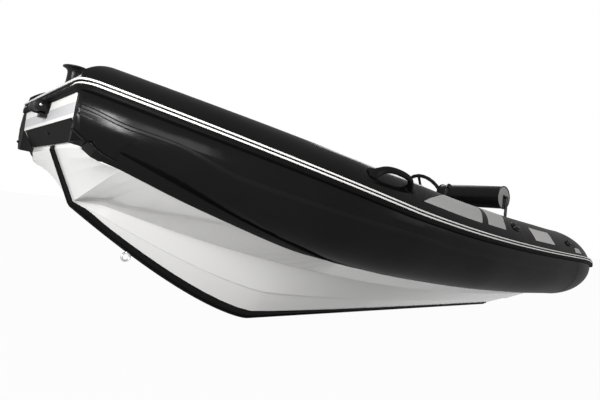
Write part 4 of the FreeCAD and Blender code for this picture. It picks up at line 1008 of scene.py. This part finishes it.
# ---- fittings on the tubes
HANDLE_X, HANDLE_ANGLE, HANDLE_FEET, HANDLE_SAG = 2140.0, 44, (-118, 118), 3.5e-6
HANDLE_ARCH = (   # along the tube, height, half width, half thickness
    (-142, -1.5, 16, 2.0), (-134, 1.5, 26, 2.6), (-120, 3.5, 30, 4), (-106, 9, 27, 7),
    (-94, 23, 21, 10.5), (-78, 38, 18, 12), (-48, 49, 17, 12), (0, 53, 17, 12),
)
FOOT_HEIGHT = 20             # below this the handle bends to the tube
FOOT_PAD = ((0.02, 1.6), (0.5, 1.6), (0.9, 1.5), (1.0, 0.9), (1.03, -1.5))   # share, lift
FOOT_HALF_LENGTH, FOOT_HALF_ANGLE = 40, 11.5


class BOAT_OT_handles(Operator):
    """Moulded grab handles with broad feet"""
    bl_idname = "boat.handles"
    bl_label = "Grab handles"

    def execute(self, context):
        s = s_at(HANDLE_X)
        normal, across = round_tube(s, HANDLE_ANGLE)
        forward, seat = tube_frame(s)[3], SKIN.seat(s, HANDLE_ANGLE)
        arch = HANDLE_ARCH + tuple((-a, h, w, t) for a, h, w, t in HANDLE_ARCH[-2::-1])
        line = smooth_line(arch, 64)
        rings = []
        for k, (a, h, w, t) in enumerate(line):
            before, after = line[max(k - 1, 0)], line[min(k + 1, len(line) - 1)]
            run = forward * (after[0] - before[0]) + normal * (after[1] - before[1])
            lift = run.normalized().cross(across).normalized()
            if lift.dot(normal) < 0:
                lift = -lift
            middle = seat + (forward * a + normal * (h - HANDLE_SAG * a * a)) / 1000
            ring = []
            for c, d in circle(20):
                bend = (w * c) ** 2 / (2 * TUBE_RADIUS) if h < FOOT_HEIGHT else 0
                ring.append(middle + (across * w * c + lift * (t * d) - normal * bend) / 1000)
            rings.append(ring)
        handle = Shape().rings(rings)
        handle.both_sides("grab_handle_moulded", "rubber", "black_rubber", "grab_handle")
        pads = Shape()
        for middle in HANDLE_FEET:
            foot = s_at(HANDLE_X + middle)
            pads.rings([
                [SKIN.seat(foot + FOOT_HALF_LENGTH * share * c,
                           HANDLE_ANGLE + FOOT_HALF_ANGLE * share * d, lift)
                 for c, d in circle(36)]
                for share, lift in FOOT_PAD
            ])
        pads.both_sides("grab_handle_pads", "tape", "tube_fabric")
        return {"FINISHED"}


class BOAT_OT_valves(Operator):
    """Inflation valves with ribbed caps"""
    bl_idname = "boat.valves"
    bl_label = "Valves"

    def execute(self, context):
        shape = Shape()
        for x, angle, r in ((1040.0, 44.0, 0.034), (234.0, 39.0, 0.026)):
            s = s_at(x)
            seat, (normal, _) = SKIN.seat(s, angle), round_tube(s, angle)
            shape.turned(seat, normal, [
                (0, -0.004), (r, -0.004), (r, 0.002), (r * 0.95, 0.0045), (r * 0.84, 0.0055),
                (r * 0.8, 0.0035), (r * 0.74, 0.0035), (r * 0.72, 0.011), (r * 0.66, 0.0145),
                (r * 0.3, 0.0155), (r * 0.24, 0.0138), (0, 0.0136),
            ], 40)
            _, side, other = square_to(normal)
            for c, d in circle(12):
                foot = seat + (side * c + other * d) * r * 0.72
                shape.bar([foot + normal * 0.0045, foot + normal * 0.0125], r * 0.045, 8)
        shape.join(shape.mirror())
        shape.piece("tube_valves_capped", "plastic", "black_plastic",
                    nodes=["tube_valves"], angle=50)
        return {"FINISHED"}


# ---- soft goods
VOXEL = 0.006                # size of the even mesh that is filled
PAD_INSET, PAD_HEADROOM = 0.004, 0.008          # a pad starts smaller than its packed cushion


def apply_modifiers(piece):
    """The piece's mesh with its modifiers worked in, so that none is left on it."""
    depsgraph = bpy.context.evaluated_depsgraph_get()
    mesh = bpy.data.meshes.new_from_object(piece.evaluated_get(depsgraph))
    materials = list(piece.data.materials)
    piece.modifiers.clear()
    piece.data = mesh
    mesh.materials.clear()
    for material in materials:
        mesh.materials.append(material)


def fill_with_foam(piece, pressure, cap, hold):
    """Remeshes a soft piece and lets it swell; hold gives a point's share of movement, 0 to 1."""
    steps = settings()[1].foam_frames
    scene = bpy.context.scene
    modifier = piece.modifiers.new("even_mesh", "REMESH")
    modifier.mode, modifier.voxel_size, modifier.use_smooth_shade = "VOXEL", VOXEL, True
    apply_modifiers(piece)
    start = [v.co.copy() for v in piece.data.vertices]
    cloth = piece.modifiers.new("filling", "CLOTH")
    cloth.settings.use_pressure = True
    cloth.settings.uniform_pressure_force = pressure
    cloth.settings.effector_weights.gravity = 0
    cloth.settings.tension_stiffness = cloth.settings.compression_stiffness = 25
    cloth.settings.bending_stiffness = 1.2
    cloth.collision_settings.use_collision = False
    cloth.point_cache.frame_start, cloth.point_cache.frame_end = 1, steps + 1
    for step in range(1, steps + 1):
        scene.frame_set(step)
    apply_modifiers(piece)
    scene.frame_set(1)
    for vertex, rest in zip(piece.data.vertices, start):
        move = vertex.co - rest
        vertex.co = rest + move.normalized() * min(move.length, cap) * hold(rest)
    smooth_faces(piece)


def stitch(piece, depth, lines, width):
    """Presses sewn lines, each giving a point's distance from it, and smooths the piece."""
    for vertex in piece.data.vertices:
        near = min(abs(line(vertex.co)) for line in lines)
        vertex.co -= vertex.normal * depth * max(0.0, 1 - near / width) ** 2
    modifier = piece.modifiers.new("smoothed", "SUBSURF")
    modifier.levels = modifier.render_levels = 1
    apply_modifiers(piece)
    smooth_faces(piece)


def piping_loop(name, path, radius, finishes, slot, body):
    Shape().bar(path, radius, 10, loop=True).piece(name, finishes, slot, body, angle=80)


def seat_pad(name, node, body, corner, channels):
    """Padded seat standing for a packed cushion: crowned top, sewn channels and piped edge."""
    swell = settings()[1].cushion_swell
    low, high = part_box(node)
    low = low + Vector((PAD_INSET, PAD_INSET, 0))
    high = high - Vector((PAD_INSET, PAD_INSET, PAD_HEADROOM))
    centre, half, thick = (low + high) / 2, (high - low) / 2, high.z - low.z
    pad = Shape().rings([
        [centre + Vector((x + c * (corner - inset), y + s * (corner - inset), half.z * z_share))
         for x, y, c, s in rounded_corners(half.x, half.y, corner, 7)]
        for z_share, inset in (
            (-1, 0.006), (-0.96, 0.0015), (-0.5, 0), (0.5, 0), (0.96, 0.0015), (1, 0.006))
    ]).piece(name, "seat", body=body)

    def hold(point):
        """Flat below, free on top, and held in at the edges."""
        up = (point.z - low.z) / thick
        edge = min(point.x - low.x, high.x - point.x, point.y - low.y, high.y - point.y)
        return max(0.0, min(1.0, up * 1.6 - 0.2)) * (0.35 if edge < 0.004 else 1.0)

    fill_with_foam(pad, 4.0, swell, hold)
    for vertex in pad.data.vertices:
        point = vertex.co
        if point.z > low.z + thick * 0.55:
            u = 1 - abs(2 * (point.x - low.x) / (high.x - low.x) - 1) ** 3
            v = 1 - abs(2 * (point.y - low.y) / (high.y - low.y) - 1) ** 4
            point.z += swell * 0.55 * max(u, 0) * max(v, 0)
        elif point.z < low.z + thick * 0.4:
            point.z = max(point.z, low.z)
    pitch = (high.y - low.y) / (channels + 1)
    seams = [lambda p, y=low.y + pitch * (k + 1): p.y - y if p.z > low.z + thick * 0.5 else 1.0
             for k in range(channels)]
    stitch(pad, 0.007, seams, 0.012)
    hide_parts(node)
    rim = [Vector((centre.x + x + c * corner, centre.y + y + s * corner, low.z + thick * 0.93))
           for x, y, c, s in rounded_corners(half.x, half.y, corner, 9)]
    piping_loop(f"{name}_piping", rim, 0.0032, "trim", "seat_vinyl", body)


class BOAT_OT_bow_locker(Operator):
    """Bow locker lid with its hinges and cushion"""
    bl_idname = "boat.bow_locker"
    bl_label = "Bow locker"

    def execute(self, context):
        dress("liner", "bow_locker_lid")
        dress("steel", "bow_locker_hinges")
        rolled_edges("bow_locker_lid", 0.005)
        seat_pad("bow_locker_pad", "bow_locker_cushion", "bow_lid", 0.03, 1)
        latch = Shape().block(place((2207, -22, 566)), place((2214, 22, 586)), 0.002)
        latch.piece("bow_locker_latch", "plastic", "black_plastic", "bow_lid")
        return {"FINISHED"}


class BOAT_OT_seat(Operator):
    """Helm seat: box, hatch, hinges, latch and padded cushion"""
    bl_idname = "boat.seat"
    bl_label = "Helm seat"

    def execute(self, context):
        dress("liner", "seat_box", "seat_hatch")
        dress("steel", "seat_hatch_hinges", "backrest_pivots")
        rolled_edges("seat_box", settings()[1].edge_rounding * 0.6)
        rolled_edges("seat_hatch", 0.0012, 2)
        seat_pad("helm_seat_pad", "seat_cushion", "boat", 0.04, 2)
        spot = Vector((place((640, 0, 0)).x, 0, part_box("seat_hatch")[1].z - 0.03))
        knob = Shape().turned(spot, FORE, [
            (0, -0.002), (0.02, -0.002), (0.02, 0.003), (0.017, 0.005), (0.012, 0.005),
            (0.011, 0.012), (0.009, 0.014), (0, 0.014)])
        knob.piece("seat_hatch_latch", "plastic", "black_plastic", "hatch")
        return {"FINISHED"}


BOLSTER_HALF = (             # share of the half width, share of the radius, from end to middle
    (1, 0.02), (1, 0.5), (1, 0.9), (0.998, 0.955), (0.985, 0.97), (0.9, 0.972), (0.5, 0.974))
BOLSTER_FIT = 0.985          # the pad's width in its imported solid


class BOAT_OT_backrest(Operator):
    """Backrest: padded bolster with piped end caps, on its arms"""
    bl_idname = "boat.backrest"
    bl_label = "Backrest"

    def execute(self, context):
        dress("plastic", "backrest_frame")
        low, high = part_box("backrest_bolster")
        centre, radius, half = (low + high) / 2, (high.z - low.z) / 2, (high.y - low.y) / 2
        end = half * BOLSTER_FIT
        outline = [(-y, r) for y, r in BOLSTER_HALF] + [(0, 0.974), *BOLSTER_HALF[::-1]]
        pad = Shape().rings([
            [centre + Vector((c * radius * r, half * y * BOLSTER_FIT, s * radius * r))
             for c, s in circle(44)]
            for y, r in outline
        ]).piece("backrest_bolster_pad", "vinyl trim", body="backrest")

        def hold(point):
            return min(1.0, max(0.12, (end - abs(point.y - centre.y)) / 0.05))

        fill_with_foam(pad, 3.0, 0.006, hold)
        stitch(pad, 0.004, [
            lambda p: abs(p.y - centre.y) - half * 0.93,
            lambda p: p.z - centre.z if p.x < centre.x - radius * 0.7 else 1.0], 0.008)
        cap = half * 0.982 - 0.0035
        for polygon in pad.data.polygons:
            polygon.material_index = int(abs(polygon.center.y - centre.y) > cap)
        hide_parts("backrest_bolster")
        for side, name in ((1, "port"), (-1, "starboard")):
            rim = oval(centre + PORT * (side * (end - 0.001)), FORE, UP, 56, radius * 0.968)
            piping_loop(
                f"{name}_bolster_piping", rim, 0.0036, "vinyl", "bolster_vinyl", "backrest")
            y0, y1 = sorted(side * (half + out) for out in (-0.0035, 0.0005))
            sleeve = Shape().block(centre + Vector((-0.016, y0, -0.082)),
                                   centre + Vector((0.016, y1, 0.02)), 0.0017)
            sleeve.piece(f"{name}_bolster_slot", "plastic", "black_plastic", "backrest")
        return {"FINISHED"}


# ---- helm and stern
WHEEL_CENTRE, WHEEL_TILT, WHEEL_RADIUS = (905, 0, 765), 60, 0.165
GRIP_RADIUS, GRIP_WAVE, GRIP_WAVES = 0.0122, 0.0007, 24
HUB_OUTLINE = ((0, -0.034), (0.022, -0.034), (0.026, -0.02), (0.036, -0.01), (0.038, -0.002),
               (0.034, 0.003), (0.018, 0.0042), (0, 0.0044))
SPOKE = (                    # reach, half width, drop
    (0.024, 0.017, -0.006), (0.07, 0.0125, -0.007), (0.12, 0.0115, -0.004),
    (0.152, 0.013, -0.0005), (0.162, 0.016, 0))
GAUGE_RIM = ((0, -0.004), (0.045, -0.004), (0.045, 0.002), (0.043, 0.005), (0.039, 0.006),
             (0.037, 0.004), (0.036, 0.0015), (0, 0.0015))


class BOAT_OT_helm(Operator):
    """Console with its gauges, steering wheel and throttle control"""
    bl_idname = "boat.helm"
    bl_label = "Helm"

    def execute(self, context):
        dress("gelcoat", "console")
        dress("plastic", "steering_mount", "throttle_control")
        rolled_edges("console", settings()[1].edge_rounding * 1.6, 4)
        rolled_edges("throttle_control", 0.003)
        rolled_edges("steering_mount", 0.003)
        self.wheel()
        self.gauges()
        return {"FINISHED"}

    def wheel(self):
        centre, tilt = place(WHEEL_CENTRE), radians(WHEEL_TILT)
        axis = Vector((-sin(tilt), 0, cos(tilt)))
        up = PORT.cross(axis)
        rings = []
        for k, (c, s) in enumerate(circle(96)):
            out = PORT * c + up * s
            r = GRIP_RADIUS + GRIP_WAVE * cos(tau * k / 96 * GRIP_WAVES)
            rings.append(oval(centre + out * WHEEL_RADIUS, out, axis, 16, r))
        shape = Shape().rings(rings, loop=True)
        shape.turned(centre, axis, HUB_OUTLINE, 40, tag=1)
        for turn in (90, 210, 330):
            out = PORT * cos(radians(turn)) + up * sin(radians(turn))
            across = axis.cross(out)
            shape.rings([
                oval(centre + out * reach + axis * drop, across * width, axis * 0.0034, 12)
                for reach, width, drop in SPOKE
            ], tag=1)
        shape.piece("steering_wheel_moulded", "grip plastic", "wheel_grip", "wheel",
                    ["steering_wheel"], 50)

    def gauges(self):
        """Two round dials on the console's sloping top."""
        aft, fore = place((980, 0, 690)), place((1210, 0, 808))
        slope = (fore - aft).normalized()
        out = slope.cross(PORT).normalized()
        rims, faces, marks = Shape(), Shape(), Shape()
        for y in (-0.075, 0.075):
            spot = aft + slope * 0.16 + PORT * y
            rims.turned(spot, out, GAUGE_RIM, 48)
            faces.turned(spot + out * 0.0016, out,
                         [(0, 0), (0.035, 0), (0.035, 0.0006), (0, 0.0008)], 40)
            for turn, start, stop, height, thick in (
                *((-30 + 24 * k, 0.026, 0.032, 0.0026, 0.0007) for k in range(11)),
                (40, -0.006, 0.025, 0.003, 0.0009),
            ):
                ray = PORT * cos(radians(turn)) + slope * sin(radians(turn))
                marks.bar([spot + out * height + ray * r for r in (start, stop)], thick, 6)
        rims.piece("gauge_rims", "steel", "stainless", angle=50)
        faces.piece("gauge_faces", "dial", "gelcoat", angle=50)
        marks.piece("gauge_marks", "plastic", "black_plastic", angle=50)


class BOAT_OT_stern(Operator):
    """Transom with its motor pads, towing eyes and drain plug"""
    bl_idname = "boat.stern"
    bl_label = "Stern"

    def execute(self, context):
        dress("plate", "motor_pads")
        dress("steel", "transom_tow_eyes")
        dress("plastic", "drain_plug")
        rolled_edges("transom_tow_eyes", 0.0015)
        rolled_edges("drain_plug", 0.0012)
        places = [(place((-6, y + dy, 330 + dz)), -FORE)
                  for y in (-300, 300) for dz in (-16, 16) for dy in (-16, 16)]
        bolt_heads("tow_eye_bolts", places, 0.0036, 0.003, "steel", "stainless")
        return {"FINISHED"}


# ---- stage
LAMPS = (                    # name, which is also its power's setting, place, aim, size
    ("key_lamp", (3.3, 3.7, 1.3), (1.2, 0.35, 0.4), (1.6, 1.2)),
    ("bow_strip", (3.62, 2.2, 0.98), (1.45, 0.62, 0.6), (0.3, 1.1)),
    ("quarter_lamp", (-2.6, -2.1, 2.1), (-0.2, 0.5, 0.5), (1.4, 1.4)),
    ("sheen_lamp", (-2.6, 3.4, 1.5), (0.0, 0.8, 0.4), (1.6, 1.6)),
)
CAMERA_PLACE, CAMERA_SHIFT = (2.127, 2.188, 0.354), (-0.103, -0.068)
CAMERA_RIGHT, CAMERA_AIM = Vector((-0.711, 0.694, 0.114)), Vector((-0.682, -0.720, 0.128))
FLOOR_Z, FLOOR_HALF, FLOOR_GLOW = -7, 30.0, 0.97


class BOAT_OT_stage(Operator):
    """Floor, world, lamps and camera"""
    bl_idname = "boat.stage"
    bl_label = "Stage"

    def execute(self, context):
        stage = settings()[2]
        self.world(stage.level)
        self.floor()
        for name, where, aim, size in LAMPS:
            data = bpy.data.lights.new(name, "AREA")
            data.shape, data.energy = "RECTANGLE", getattr(stage, name)
            data.size, data.size_y = size
            lamp = self.put(name, data)
            lamp.location = where
            turn = (Vector(aim) - Vector(where)).to_track_quat("-Z", "Y")
            lamp.rotation_euler = turn.to_euler()
            lamp.visible_camera = False
        self.camera(stage.lens)
        context.scene.view_settings.view_transform = "Standard"
        return {"FINISHED"}

    def put(self, name, data):
        made = bpy.data.objects.new(name, data)
        bpy.context.scene.collection.objects.link(made)
        return made

    def world(self, level):
        world = bpy.data.worlds.new("studio")
        bpy.context.scene.world = world
        nodes = Nodes(world)
        strength = nodes.background_rays() * (1.0 - level) + level
        light = nodes.add("ShaderNodeBackground", {}, {"Color": (1, 1, 1, 1), "Strength": strength})
        nodes.add("ShaderNodeOutputWorld", {}, {"Surface": light})

    def floor(self):
        """Pale floor that keeps the boat's shadow."""
        low, far = place((0, 0, FLOOR_Z)).z, FLOOR_HALF
        mesh = bpy.data.meshes.new("studio_floor")
        mesh.from_pydata(
            [(-far, -far, low), (far, -far, low), (far, far, low), (-far, far, low)], [],
            [(0, 1, 2, 3)])
        f = Finish("floor_white")
        shade = f.blend(f.noise(2.0) * 0.3, (0.3, 0.3, 0.3, 1), (0.28, 0.28, 0.28, 1))
        paper = f.add("ShaderNodeBsdfDiffuse", {}, {"Color": shade})
        glow = f.add("ShaderNodeEmission", {}, {"Color": (1, 1, 1, 1), "Strength": 1.0})
        f.output(f.add("ShaderNodeMixShader", {}, {
            0: f.background_rays() * FLOOR_GLOW, 1: paper, 2: glow}))
        mesh.materials.append(f.material)
        self.put("studio_floor", mesh)

    def camera(self, lens):
        data = bpy.data.cameras.new("studio_camera")
        data.lens, data.sensor_width = lens, 36.0
        data.shift_x, data.shift_y = CAMERA_SHIFT
        data.clip_start, data.clip_end = 0.05, 200
        camera = self.put("studio_camera", data)
        back = -CAMERA_AIM.normalized()
        up = back.cross(CAMERA_RIGHT.normalized()).normalized()
        right = up.cross(back).normalized()
        turn = Matrix((right, up, back)).transposed().to_4x4()
        camera.matrix_world = Matrix.Translation(CAMERA_PLACE) @ turn
        bpy.context.scene.camera = camera


# ---- panel and registering
OPERATORS = (
    BOAT_OT_stage, BOAT_OT_hull, BOAT_OT_keel_guard, BOAT_OT_tubes, BOAT_OT_joint_flaps,
    BOAT_OT_rub_rails, BOAT_OT_nose, BOAT_OT_bow_fittings, BOAT_OT_handles, BOAT_OT_valves,
    BOAT_OT_bow_locker, BOAT_OT_helm, BOAT_OT_seat, BOAT_OT_backrest, BOAT_OT_stern,
)


class BOAT_PT_panel(Panel):
    """Boat pieces and their settings"""
    bl_idname = "BOAT_PT_panel"
    bl_label = "Inflatable boat"
    bl_space_type = "VIEW_3D"
    bl_region_type = "UI"
    bl_category = "Boat"

    def draw(self, context):
        column = self.layout.column()
        for group in settings():
            for name in group.__annotations__:
                column.prop(group, name)
        for operator in OPERATORS:
            column.operator(operator.bl_idname)


GROUPS = {"boat_finishes": BoatFinishes, "boat_trim": BoatTrim, "boat_stage": BoatStage}
CLASSES = (*GROUPS.values(), *OPERATORS, BOAT_PT_panel)


def register():
    for one in CLASSES:
        bpy.utils.register_class(one)
    for name, group in GROUPS.items():
        setattr(bpy.types.Scene, name, PointerProperty(type=group))


def unregister():
    for name in GROUPS:
        delattr(bpy.types.Scene, name)
    for one in reversed(CLASSES):
        bpy.utils.unregister_class(one)


def main():
    register()
    for operator in OPERATORS:
        group, name = operator.bl_idname.split(".")
        getattr(getattr(bpy.ops, group), name)()


if __name__ == "__main__":
    main()
